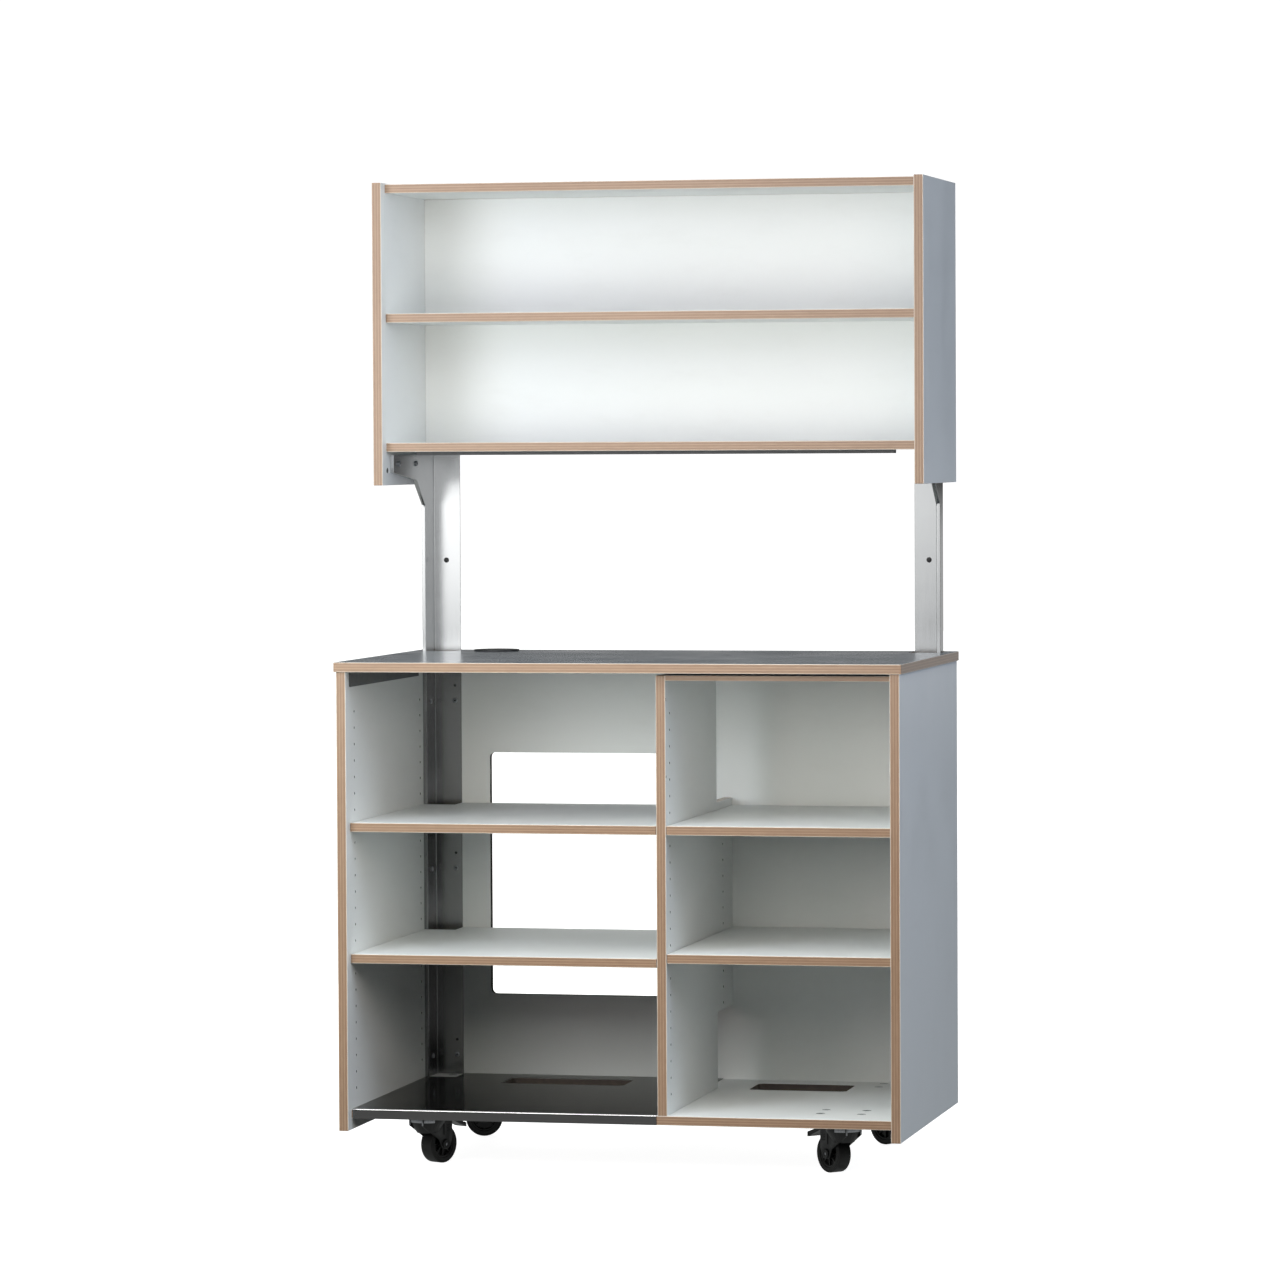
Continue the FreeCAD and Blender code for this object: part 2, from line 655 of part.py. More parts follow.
# Cable outlet: a sleeve with a rim, and a cap with a notch that turns in it.
RIM_TOP = f"({WORKTOP_TOP} + outlet_rim_height)"
CAP_UNDER = f"({RIM_TOP} - cap_thickness)"
CAP_RADIUS = "(outlet_radius - outlet_wall)"
sleeve = fuse([rod("outlet_radius", "worktop_thickness", (*OUTLET, WORKTOP_UNDER)),
               rod("outlet_rim_radius", "outlet_rim_seat + outlet_rim_height", (*OUTLET, RIM_SEAT))])
sleeve_bore = fuse([rod(f"{CAP_RADIUS} - outlet_ledge", through, (*OUTLET, f"{WORKTOP_UNDER} - overrun")),
                    rod(CAP_RADIUS, "cap_thickness + overrun", (*OUTLET, CAP_UNDER))])
node("cable_sleeve", cut(sleeve, [sleeve_bore]))
cap = rod(f"{CAP_RADIUS} - swivel_gap", "cap_thickness - fit_gap", (*OUTLET, f"{CAP_UNDER} + fit_gap"))
notch_place = (f"{OUTLET[0]} - cap_notch_width / 2", f"{OUTLET[1]} - {CAP_RADIUS}", f"{CAP_UNDER} - overrun")
cap_notch = box(("cap_notch_width", "cap_notch_depth", "cap_thickness + 2 * overrun"), notch_place)
node("cable_cap", cut(cap, [cap_notch]))

# Uprights: one folded sheet each, with web, flange, lip and the arm under the upper cabinet.
for side, sign in (("left", -1), ("right", 1)):
    rise = f"({ARM_TOP} - {FLOOR_TOP})"
    flange_x = mirror_x(side, FLANGE_OUT, "upright_sheet")
    web_y = f"{BACK_FACE} - upright_sheet"
    web_x = mirror_x(side, FLANGE_OUT, "upright_web")
    web = box(("upright_web", "upright_sheet", rise), (web_x, web_y, FLOOR_TOP))
    flange = box(("upright_sheet", "upright_flange", rise), (flange_x, LIP_FRONT, FLOOR_TOP))
    lip_rise = f"{rise} - arm_root_height + 2 * upright_sheet"
    lip_size = ("upright_lip + upright_sheet", "upright_sheet", lip_rise)
    lip = box(lip_size, (mirror_x(side, INNER, lip_size[0]), LIP_FRONT, FLOOR_TOP))
    arm_outline = [
        ("0", "arm_root_height - arm_front_height"),
        ("arm_length - arm_knee_reach", "arm_root_height - arm_knee_height"),
        ("arm_length", "0"),
        ("arm_length + upright_sheet", "0"),
        ("arm_length + upright_sheet", "arm_root_height"),
        ("0", "arm_root_height"),
    ]
    arm_start = (flange_x, f"{LIP_FRONT} - arm_length", f"{ARM_TOP} - arm_root_height")
    arm = plate(arm_outline, "upright_sheet", "yz", arm_start)
    knee = arm_outline[:2] + arm_outline[3:4]
    lip_outline = knee + [(y, f"{z} + upright_sheet") for y, z in reversed(knee)]
    lip_start = (mirror_x(side, INNER, "upright_lip"), *arm_start[1:])
    arm_lip = plate(lip_outline, "upright_lip", "yz", lip_start)
    nose_size = ("upright_lip", "upright_sheet", "arm_front_height")
    nose = box(nose_size, (lip_start[0], lip_start[1], f"{ARM_TOP} - arm_front_height"))
    hole_z = f"{WORKTOP_TOP} + web_hole_rise"
    hole_x = f"{sign} * ({INNER} - web_hole_inset)"
    through_web = "upright_sheet + 2 * overrun"
    tools = [rod("web_hole_radius", through_web, (hole_x, f"{web_y} - overrun", hole_z), "y")]
    flange_hole = (f"{flange_x} - overrun", f"{LIP_FRONT} + flange_hole_inset", hole_z)
    tools.append(rod("flange_hole_radius", through_web, flange_hole, "x"))
    spare_x = f"{sign} * {WEB_SCREW_X}"
    for z in SCREW_RISES:
        spare = (spare_x, f"{web_y} - overrun", f"{z} + spare_hole_rise")
        tools.append(rod(SCREW_FIT, through_web, spare, "y"))
    tools += screw_bores["upright", side] + bolt_bores["upright", side]
    node(f"{side}_upright", cut(fuse([web, flange, lip, arm, arm_lip, nose]), tools))

# Upper cabinet.
for side in ("left", "right"):
    face = f"-{INNER}" if side == "left" else INNER
    blank = box(("panel_thickness", "upper_depth", "upper_height"),
                (mirror_x(side, "cabinet_width / 2", "panel_thickness"), UPPER_FRONT, UPPER_FOOT))
    tools = dowel_bores[f"{side}_upper_bottom_panel"] + dowel_bores[f"{side}_upper_top_panel"]
    tools += [pin_hole(side, face, y, UPPER_SHELF_MIDDLE) for y in upper_pin_places]
    tools += bolt_bores["upper_side", side]
    fixing_x = f"{face} - pin_seat" if side == "left" else f"{face} - overrun"
    fixing_spot = (fixing_x, f"{UPPER_FRONT} + fixing_hole_inset", f"{UPPER_FOOT} + fixing_hole_rise")
    tools.append(rod("fixing_hole_radius", "pin_seat + overrun", fixing_spot, "x"))
    node(f"upper_{side}_side", cut(blank, tools))
for label, under in (("upper_bottom_panel", UPPER_UNDER), ("upper_top_panel", UPPER_ROOF)):
    blank = box((f"2 * {INNER}", UPPER_INSIDE_DEPTH, "shelf_thickness"), (f"-{INNER}", UPPER_INSIDE, under))
    node(label, cut(blank, dowel_bores[label]))
middle = box((f"2 * {INNER} - 2 * shelf_gap", UPPER_SHELF_DEPTH, "shelf_thickness"),
             (f"shelf_gap - {INNER}", UPPER_INSIDE, f"{UPPER_SHELF_MIDDLE} - shelf_thickness / 2"))
node("upper_middle_shelf", cut(middle, pin_bores["upper_middle_shelf"]))
node("upper_back_panel", box((f"2 * {INNER}", "upper_back_thickness", f"{UPPER_ROOF} - {UPPER_FLOOR}"),
                             (f"-{INNER}", UPPER_BACK_FACE, UPPER_FLOOR)))
RAIL_END = f"({INNER} - rail_end_gap)"
rail_place = (f"-{RAIL_END}", f"{UPPER_INSIDE} + rail_setback", f"{UPPER_UNDER} - rail_height")
groove = box((f"2 * ({RAIL_END} + overrun)", "rail_groove_width", "rail_groove_depth + overrun"),
             (f"-{RAIL_END} - overrun", f"{rail_place[1]} + (rail_depth - rail_groove_width) / 2",
              f"{rail_place[2]} - overrun"))
rail = box((f"2 * {RAIL_END}", "rail_depth", "rail_height"), rail_place)
node("under_panel_rail", cut(rail, [groove]))


# Castors. Each is drawn about its own pivot, with the wheel trailing along +X.
def set_castor(label, item, name, turned=True):
    angle = TRAIL_ANGLES[name] if turned else 0
    item.Placement = FreeCAD.Placement(FreeCAD.Vector(), FreeCAD.Rotation(FreeCAD.Vector(0, 0, 1), angle))
    place(item, *castor_places[name])
    node(f"{name}_{label}", item)


def castor_plate():
    sheet_box = box(("plate_length", "plate_width", "plate_sheet"),
                    ("-plate_length / 2", "-plate_width / 2", PLATE_UNDER))
    race_under = f"({CROWN_TOP} + swivel_gap)"
    race = rod("race_radius", f"{PLATE_UNDER} - {race_under}", ("0", "0", race_under))
    hole_start = f"{PLATE_UNDER} - overrun"
    tools = [rod("castor_bolt_radius + hole_play", "plate_sheet + 2 * overrun",
                 (f"{u} * bolt_spacing_long / 2", f"{v} * bolt_spacing_short / 2", hole_start))
             for u in (-1, 1) for v in (-1, 1)]
    tools.append(rod("kingpin_radius + fit_gap", "castor_height", ("0", "0", "0")))
    return cut(fuse([sheet_box, race]), tools)


def kingpin():
    head_top = f"({CROWN_UNDER} - swivel_gap)"
    stem_start = f"({head_top} - kingpin_head_height)"
    return fuse([rod("kingpin_radius", f"castor_height - {stem_start}", ("0", "0", stem_start)),
                 rod("kingpin_head_radius", "kingpin_head_height", ("0", "0", stem_start))])


def fork(braked):
    leg_outline = [
        ("-hood_front", CROWN_TOP),
        ("-hood_front", f"{CROWN_TOP} - hood_depth"),
        ("trail - axle_nose - leg_slope", "wheel_radius + axle_nose"),
        ("trail - axle_nose", "wheel_radius - axle_nose"),
        ("trail + axle_nose", "wheel_radius - axle_nose"),
        ("trail + axle_nose + leg_slope", "wheel_radius + axle_nose"),
        ("hood_tail", f"{CROWN_TOP} - hood_depth"),
        ("hood_tail", CROWN_TOP),
    ]
    foot = f"({CROWN_UNDER} - hood_drop)"
    hood = taper("hood_foot_radius", "crown_radius", "hood_drop", ("0", "0", foot))
    wheel_side = ("trail", f"-{LEG_INNER}", "wheel_radius")
    wheel_space = rod("wheel_radius + wheel_gap", f"2 * {LEG_INNER}", wheel_side, "y")
    pocket_start = ("0", "0", f"{foot} - overrun")
    pocket = rod("kingpin_head_radius + hood_pocket_gap", "hood_drop + overrun", pocket_start)
    pieces = [rod("crown_radius", "crown_height", ("0", "0", CROWN_UNDER)), cut(hood, [wheel_space, pocket])]
    for start in (f"-{LEG_INNER}", f"{LEG_INNER} + leg_sheet"):
        pieces.append(plate(leg_outline, "leg_sheet", "xz", ("0", start, "0")))
    span = f"(2 * {LEG_INNER} + 2 * leg_sheet)"
    across = f"{span} + 2 * overrun"
    start_y = f"-{span} / 2 - overrun"
    tools = [rod("kingpin_radius + fit_gap", "castor_height", ("0", "0", "0")),
             rod("axle_radius + fit_gap", across, ("trail", start_y, "wheel_radius"), "y")]
    if braked:
        spot = ("pedal_pivot", start_y, PEDAL_PIVOT_Z)
        tools.append(rod("pedal_pin_radius + fit_gap", across, spot, "y"))
    return cut(fuse(pieces), tools)


def axle():
    span = f"(2 * {LEG_INNER} + 2 * leg_sheet)"
    stem = rod("axle_radius", span, ("trail", f"-{span} / 2", "wheel_radius"), "y")
    heads = [rod("axle_head_radius", "axle_head_height", ("trail", start, "wheel_radius"), "y")
             for start in (f"-{span} / 2 - axle_head_height", f"{span} / 2")]
    return fuse([stem] + heads)


def wheel_ring(radius, bore, width):
    ring = rod(radius, width, ("trail", f"-({width}) / 2", "wheel_radius"), "y")
    hole = rod(bore, f"{width} + 2 * overrun", ("trail", f"-({width}) / 2 - overrun", "wheel_radius"), "y")
    return cut(ring, [hole])


def tyre():
    blank = wheel_ring("wheel_radius", "hub_radius", "wheel_width")
    rounded = doc.addObject("Part::Fillet", "tread")
    rounded.Base = blank
    doc.recompute()
    radius = value_of("tread_round")
    edges = [number for number, edge in enumerate(blank.Shape.Edges, start=1)
             if edge.Closed and math.isclose(edge.Curve.Radius, value_of("wheel_radius"))]
    rounded.Edges = [(number, radius, radius) for number in edges]
    return rounded


def hub():
    boss = wheel_ring("hub_boss_radius", "axle_radius + fit_gap", "wheel_width")
    disc = wheel_ring("hub_radius", "axle_radius + fit_gap", "wheel_width - 2 * hub_inset")
    return fuse([boss, disc])


def pedal():
    width = f"(2 * {LEG_INNER} - 2 * pedal_gap)"
    barrel = rod("pedal_barrel_radius", width, ("pedal_pivot", f"-{width} / 2", PEDAL_PIVOT_Z), "y")
    span = f"(2 * {LEG_INNER} + 2 * leg_sheet)"
    pin = rod("pedal_pin_radius", span, ("pedal_pivot", f"-{span} / 2", PEDAL_PIVOT_Z), "y")
    upper = f"({PEDAL_PIVOT_Z} + pedal_sheet / 2)"
    lower = f"({PEDAL_PIVOT_Z} - pedal_sheet / 2)"
    tread_outline = [
        ("pedal_pivot", upper),
        ("pedal_pivot", lower),
        ("pedal_pivot + pedal_flat", lower),
        ("pedal_pivot + pedal_reach", f"{lower} - pedal_slope_drop - pedal_toe"),
        ("pedal_pivot + pedal_reach", f"{upper} - pedal_slope_drop"),
        ("pedal_pivot + pedal_flat", upper),
    ]
    tread = plate(tread_outline, width, "xz", ("0", f"{width} / 2", "0"))
    return fuse([barrel, pin, tread])


for castor in TRAIL_ANGLES:
    set_castor("castor_plate", castor_plate(), castor, turned=False)
    set_castor("kingpin", kingpin(), castor, turned=False)
    set_castor("fork", fork(castor in BRAKED), castor)
    set_castor("axle", axle(), castor)
    set_castor("tyre", tyre(), castor)
    set_castor("hub", hub(), castor)
    if castor in BRAKED:
        set_castor("brake_pedal", pedal(), castor)

doc.recompute()
for item in doc.Objects:
    if "Invalid" in item.State or "Error" in item.State:
        raise RuntimeError(f"{item.Label} failed")
for item in nodes:
    if item.Shape.isNull() or not item.Shape.isValid():
        raise RuntimeError(f"{item.Label} has no valid shape")
os.makedirs("parts", exist_ok=True)
for item in nodes:
    item.Shape.exportStep(f"parts/{item.Label}.step")
    print(item.Label, len(item.Shape.Solids), round(item.Shape.Volume))
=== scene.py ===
import json
import math

import bmesh
import bpy
from mathutils import Matrix, Vector
from mathutils.bvhtree import BVHTree

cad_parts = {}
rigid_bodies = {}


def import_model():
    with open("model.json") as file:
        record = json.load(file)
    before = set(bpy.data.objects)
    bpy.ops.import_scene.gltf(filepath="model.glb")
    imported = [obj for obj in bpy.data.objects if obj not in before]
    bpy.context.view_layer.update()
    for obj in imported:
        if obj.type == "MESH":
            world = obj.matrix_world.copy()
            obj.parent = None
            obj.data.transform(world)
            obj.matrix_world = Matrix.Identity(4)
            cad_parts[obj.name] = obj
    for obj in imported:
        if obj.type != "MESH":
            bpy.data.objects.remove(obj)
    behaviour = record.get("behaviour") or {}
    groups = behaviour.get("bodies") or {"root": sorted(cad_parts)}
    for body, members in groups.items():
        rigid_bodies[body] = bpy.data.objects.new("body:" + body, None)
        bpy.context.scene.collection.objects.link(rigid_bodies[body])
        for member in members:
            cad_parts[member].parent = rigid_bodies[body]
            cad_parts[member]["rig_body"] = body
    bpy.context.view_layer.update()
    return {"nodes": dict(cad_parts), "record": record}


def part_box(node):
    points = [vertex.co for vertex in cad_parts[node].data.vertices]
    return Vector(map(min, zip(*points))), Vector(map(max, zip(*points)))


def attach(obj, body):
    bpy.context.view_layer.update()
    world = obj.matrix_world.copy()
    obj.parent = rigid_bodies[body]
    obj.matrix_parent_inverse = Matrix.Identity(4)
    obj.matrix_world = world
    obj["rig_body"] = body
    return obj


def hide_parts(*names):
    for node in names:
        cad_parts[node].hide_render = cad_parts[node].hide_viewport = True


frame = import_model()
nodes = frame["nodes"]
CASTORS = ("front_left", "front_right", "rear_left", "rear_right")
BRAKED_CASTORS = ("front_left", "front_right")

# Colours are linear.
WHITE_SHEET = (0.80, 0.82, 0.81, 1)
SHEET_SOIL = (0.62, 0.62, 0.59, 1)
SHEET_CORE = (0.72, 0.66, 0.58, 1)
GREY_SHEET = (0.105, 0.125, 0.145, 1)
GREY_SHEET_WORN = (0.15, 0.168, 0.185, 1)
PALE_VENEER = (0.39, 0.262, 0.172, 1)
DARK_VENEER = (0.215, 0.127, 0.075, 1)
STAINLESS = (0.60, 0.61, 0.615, 1)
STAINLESS_SHADE = (0.47, 0.48, 0.485, 1)
TRAY_STEEL = (0.25, 0.25, 0.246, 1)
TRAY_STEEL_SHADE = (0.185, 0.185, 0.182, 1)
# Painted highlight: a bright steel for the tray fold's facets that face front and up.
PAINTED_HIGHLIGHT_STEEL = (0.85, 0.85, 0.84, 1)
PAINTED_HIGHLIGHT_STEEL_SHADE = (0.7, 0.7, 0.69, 1)
TRAY_GRAZING = (0.42, 0.42, 0.413, 1)
FULL_GRAZING = (1.0, 1.0, 1.0, 1)
# Painted shade colour for the uprights below the worktop.
PAINTED_SHADE_STEEL = (0.16, 0.155, 0.15, 1)
ZINC = (0.56, 0.575, 0.60, 1)
ZINC_SHADE = (0.36, 0.37, 0.39, 1)
DARK_PAINT = (0.07, 0.071, 0.074, 1)
DARK_PAINT_RUBBED = (0.13, 0.132, 0.136, 1)
BLACK_MOULDING = (0.013, 0.013, 0.0135, 1)
BLACK_MOULDING_DUST = (0.034, 0.034, 0.033, 1)
TYRE_RUBBER = (0.009, 0.009, 0.009, 1)
TYRE_DUST = (0.025, 0.0245, 0.024, 1)
# Painted shade for the faces inside bores and cut-outs: brown veneer in shade, and black.
PAINTED_SHADE_VENEER = (0.06, 0.047, 0.038, 1)
PAINTED_SHADE_VENEER_RUBBED = (0.13, 0.1, 0.078, 1)
PAINTED_SHADE_BLACK = (0.012, 0.011, 0.01, 1)
PAINTED_SHADE_BLACK_RUBBED = (0.03, 0.027, 0.025, 1)
PAINTED_SHADE_BLACK_GLOSS = 0.08
# Painted shade for the drive recesses of screw and bolt heads.
RECESS_PAINTED_SHADE = (0.012, 0.012, 0.012, 1)
RECESS_PAINTED_SHADE_RUBBED = (0.035, 0.035, 0.035, 1)
BEECH = (0.60, 0.40, 0.24, 1)
BEECH_DARK = (0.42, 0.25, 0.13, 1)

VENEER_LAYERS = 7
SKIN_SHARE = 0.06
# Half-width of the painted light that makes the veneers paler to the left.
PAINTED_LIGHT_SPREAD = 0.55
# Painted shade on the uprights below the worktop: its height, the height it blends over and the share of lit
# colour it keeps.
UPRIGHT_SHADED_BELOW = 0.97
PAINTED_SHADE_BLEND = 0.02
PAINTED_SHADE_LIT_SHARE = 0.42
EDGE_ROUGHNESS = 0.4
LACQUER_ROUGHNESS = 0.3
LACQUER_IOR = 1.7
LACQUER_SHARE = 0.45
FACE_FROM = 0.72
SOIL_SHARE = 0.12
SKIN_COVER = 0.8
PEBBLE_SHARE = 0.35
BOARD_BUMP = 0.0001
CLOUD_SHARE = 0.55
DUST_SHARE = 0.6
PAINT_BUMP = 0.00008
CRYSTAL_SHARE = 0.2
PLATE_BUMP = 0.00004
DOWEL_GRAIN = (30.0, 600.0, 600.0)
UPRIGHT_BRUSH = (1500.0, 1500.0, 7.0)
UPRIGHT_BUMP = 0.00001
UPRIGHT_ROUGHNESS = (0.15, 0.27)
TRAY_BRUSH = (7.0, 1500.0, 1500.0)
TRAY_BUMP = 0.000002
TRAY_ROUGHNESS = (0.08, 0.14)


class Graph:
    """Adds nodes to one tree; an input takes a plain value or another node's output."""

    def __init__(self, tree):
        self.tree = tree

    def node(self, kind, inputs=None, **settings):
        made = self.tree.nodes.new(kind)
        for name, value in settings.items():
            setattr(made, name, value)
        for socket, value in (inputs or {}).items():
            self.feed(made.inputs[socket], value)
        return made

    def feed(self, socket, value):
        if isinstance(value, bpy.types.NodeSocket):
            self.tree.links.new(value, socket)
        else:
            socket.default_value = value

    def math(self, operation, *values, clamp=False):
        made = self.node("ShaderNodeMath", operation=operation, use_clamp=clamp)
        for socket, value in zip(made.inputs, values):
            self.feed(socket, value)
        return made.outputs[0]

    def vector(self, operation, *values):
        made = self.node("ShaderNodeVectorMath", operation=operation)
        for socket, value in zip(made.inputs, values):
            self.feed(socket, value)
        return made.outputs[0]

    def split(self, vector):
        return self.node("ShaderNodeSeparateXYZ", {0: vector}).outputs

    def noise(self, place, scale, detail=2.0, roughness=0.5):
        inputs = {"Vector": place, "Scale": scale, "Detail": detail, "Roughness": roughness}
        return self.node("ShaderNodeTexNoise", inputs).outputs["Fac"]

    def cells(self, place, scale):
        made = self.node("ShaderNodeTexVoronoi", {"Vector": place, "Scale": scale})
        return made.outputs["Color"]

    def span(self, value, low, high, start=0.0, end=1.0):
        """The value brought from low..high to start..end, held inside."""
        inputs = {"Value": value, 1: low, 2: high, 3: start, 4: end}
        return self.node("ShaderNodeMapRange", inputs, clamp=True).outputs[0]

    def mix(self, share, first, second):
        made = self.node("ShaderNodeMix", data_type="RGBA")
        for socket, value in zip((made.inputs[0], made.inputs[6], made.inputs[7]), (share, first, second)):
            self.feed(socket, value)
        return made.outputs[2]

    def blend(self, share, first, second):
        made = self.node("ShaderNodeMix", data_type="FLOAT")
        for socket, value in zip((made.inputs[0], made.inputs[2], made.inputs[3]), (share, first, second)):
            self.feed(socket, value)
        return made.outputs[0]


SOCKETS = {"value": "NodeSocketFloat", "colour": "NodeSocketColor", "vector": "NodeSocketVector"}


def effect(name, inputs, outputs, build):
    """A node group; build gets its graph and inputs and returns what each output is."""
    tree = bpy.data.node_groups.new(name, "ShaderNodeTree")
    for label, kind in inputs.items():
        tree.interface.new_socket(label, in_out="INPUT", socket_type=SOCKETS[kind])
    for label, kind in outputs.items():
        tree.interface.new_socket(label, in_out="OUTPUT", socket_type=SOCKETS[kind])
    graph = Graph(tree)
    given = graph.node("NodeGroupInput").outputs
    end = graph.node("NodeGroupOutput")
    for label, value in build(graph, given).items():
        graph.feed(end.inputs[label], value)
    return tree


def veneer_layers(graph, given):
    """Cross-banded veneers: long grain, end grain, glue lines and skins, with painted light that makes them
    paler to the left.
    """
    scaled = graph.math("MULTIPLY", given["Depth"], VENEER_LAYERS)
    layer = graph.math("FLOOR", scaled)
    inside = graph.math("FRACT", scaled)
    crossed = graph.math("MODULO", layer, 2.0)
    seed = graph.math("MULTIPLY", layer, 5.3)
    place = graph.vector("ADD", given["Place"], graph.node("ShaderNodeCombineXYZ", {0: seed}).outputs[0])
    figure = graph.noise(place, 34.0, 5.0, 0.6)
    pores = graph.noise(place, 1300.0, 2.0)
    board = graph.noise(given["Place"], 2.2, 2.0)
    long_tone = graph.span(figure, 0.3, 0.7, 0.62, 1.0)
    cross_tone = graph.span(pores, 0.3, 0.7, 0.1, 0.46)
    cross_tone = graph.math("ADD", cross_tone, graph.span(figure, 0.3, 0.7, -0.1, 0.12))
    tone = graph.blend(crossed, long_tone, cross_tone)
    tone = graph.math("ADD", tone, graph.span(board, 0.3, 0.7, -0.1, 0.1))
    # Painted light: the veneer tone rises towards the left of the cabinet and falls towards the right.
    painted_left_light = graph.span(graph.split(given["Place"])["X"], -PAINTED_LIGHT_SPREAD, PAINTED_LIGHT_SPREAD, 0.16, -0.16)
    tone = graph.math("ADD", tone, painted_left_light, clamp=True)
    wood = graph.mix(tone, given["Dark"], given["Pale"])
    glue = graph.span(inside, 0.0, 0.16, 0.55, 0.0)
    wood = graph.mix(glue, wood, given["Dark"])
    low = graph.math("LESS_THAN", given["Depth"], SKIN_SHARE)
    high = graph.math("GREATER_THAN", given["Depth"], 1.0 - SKIN_SHARE)
    height = graph.blend(crossed, 0.6, graph.math("MULTIPLY", pores, 0.6))
    return {"Wood": wood, "Skin": graph.math("ADD", low, high, clamp=True), "Height": height}


def sheet_grain(graph, given):
    """Fine pebble, satin patches and faint handling marks of a decorative laminate."""
    pebble = graph.noise(given["Place"], 1500.0, 2.0)
    patches = graph.noise(given["Place"], 7.0, 5.0, 0.6)
    wiped = graph.vector("MULTIPLY", given["Place"], (3.0, 3.0, 9.0))
    marks = graph.noise(wiped, 2.4, 6.0, 0.65)
    return {
        "Height": pebble,
        "Satin": graph.span(patches, 0.3, 0.7),
        "Soil": graph.span(marks, 0.52, 0.78, 0.0, 1.0),
    }


def brush_lines(graph, given):
    """Long fine scratches of brushed sheet metal, with cloudy patches."""
    stretched = graph.vector("MULTIPLY", given["Place"], given["Stretch"])
    lines = graph.noise(stretched, 1.0, 4.0, 0.7)
    clouds = graph.noise(given["Place"], 9.0, 4.0, 0.6)
    return {"Lines": graph.span(lines, 0.3, 0.7), "Clouds": graph.span(clouds, 0.3, 0.7)}


def moulded_skin(graph, given):
    """Spark-eroded mould texture, with dust caught in it."""
    grain = graph.noise(given["Place"], 1900.0, 3.0)
    dust = graph.noise(given["Place"], 55.0, 6.0, 0.65)
    return {"Height": grain, "Dust": graph.span(dust, 0.5, 0.75)}


def spangle(graph, given):
    """Crystal patches and handling dullness of plated steel."""
    crystals = graph.split(graph.cells(given["Place"], 420.0))[0]
    dull = graph.noise(given["Place"], 90.0, 4.0, 0.6)
    return {"Crystals": crystals, "Dull": graph.span(dull, 0.35, 0.7)}


VENEER = effect("veneer_layers",
                {"Depth": "value", "Place": "vector", "Dark": "colour", "Pale": "colour"},
                {"Wood": "colour", "Skin": "value", "Height": "value"}, veneer_layers)
SHEET = effect("sheet_grain", {"Place": "vector"},
               {"Height": "value", "Satin": "value", "Soil": "value"}, sheet_grain)
BRUSH = effect("brush_lines", {"Place": "vector", "Stretch": "vector"},
               {"Lines": "value", "Clouds": "value"}, brush_lines)
MOULDED = effect("moulded_skin", {"Place": "vector"}, {"Height": "value", "Dust": "value"}, moulded_skin)
SPANGLE = effect("spangle", {"Place": "vector"}, {"Crystals": "value", "Dull": "value"}, spangle)


class Finish:
    """One material: its graph, its Principled shader and its bump."""

    def __init__(self, name, **constants):
        self.material = bpy.data.materials.new(name)
        self.material.use_nodes = True
        self.graph = Graph(self.material.node_tree)
        self.shader = self.material.node_tree.nodes["Principled BSDF"]
        for socket, value in constants.items():
            self.shader.inputs[socket.replace("_", " ")].default_value = value
        coordinates = self.graph.node("ShaderNodeTexCoord").outputs
        self.place = coordinates["Object"]
        self.share = coordinates["Generated"]
        self.facing = coordinates["Normal"]

    def use(self, group, **inputs):
        made = self.graph.node("ShaderNodeGroup", node_tree=group)
        for socket, value in inputs.items():
            self.graph.feed(made.inputs[socket], value)
        return made.outputs

    def set(self, **inputs):
        for socket, value in inputs.items():
            self.graph.feed(self.shader.inputs[socket.replace("_", " ")], value)

    def bump(self, height, distance):
        inputs = {"Height": height, "Distance": distance, "Strength": 1.0}
        self.set(Normal=self.graph.node("ShaderNodeBump", inputs).outputs[0])


def board_finish(name, axis, sheet, soil, satin, gloss):
    """Plywood with laminate on both faces across the axis, and clear-lacquered veneers on every edge."""
    finish = Finish(name, Specular_IOR_Level=gloss, Coat_Roughness=LACQUER_ROUGHNESS, Coat_IOR=LACQUER_IOR)
    graph = finish.graph
    across = "XYZ".index(axis)
    facing = graph.math("ABSOLUTE", graph.split(finish.facing)[across])
    on_face = graph.math("GREATER_THAN", facing, FACE_FROM)
    depth = graph.split(finish.share)[across]
    wood = finish.use(VENEER, Depth=depth, Place=finish.place, Dark=DARK_VENEER, Pale=PALE_VENEER)
    grain = finish.use(SHEET, Place=finish.place)
    face = graph.mix(graph.math("MULTIPLY", grain["Soil"], SOIL_SHARE), sheet, soil)
    edge = graph.mix(graph.math("MULTIPLY", wood["Skin"], SKIN_COVER), wood["Wood"], SHEET_CORE)
    finish.set(Base_Color=graph.mix(on_face, edge, face))
    face_rough = graph.span(grain["Satin"], 0.0, 1.0, *satin)
    finish.set(Roughness=graph.blend(on_face, EDGE_ROUGHNESS, face_rough))
    finish.set(Coat_Weight=graph.blend(on_face, LACQUER_SHARE, 0.0))
    pebble = graph.math("MULTIPLY", grain["Height"], PEBBLE_SHARE)
    finish.bump(graph.blend(on_face, wood["Height"], pebble), BOARD_BUMP)
    return finish.material


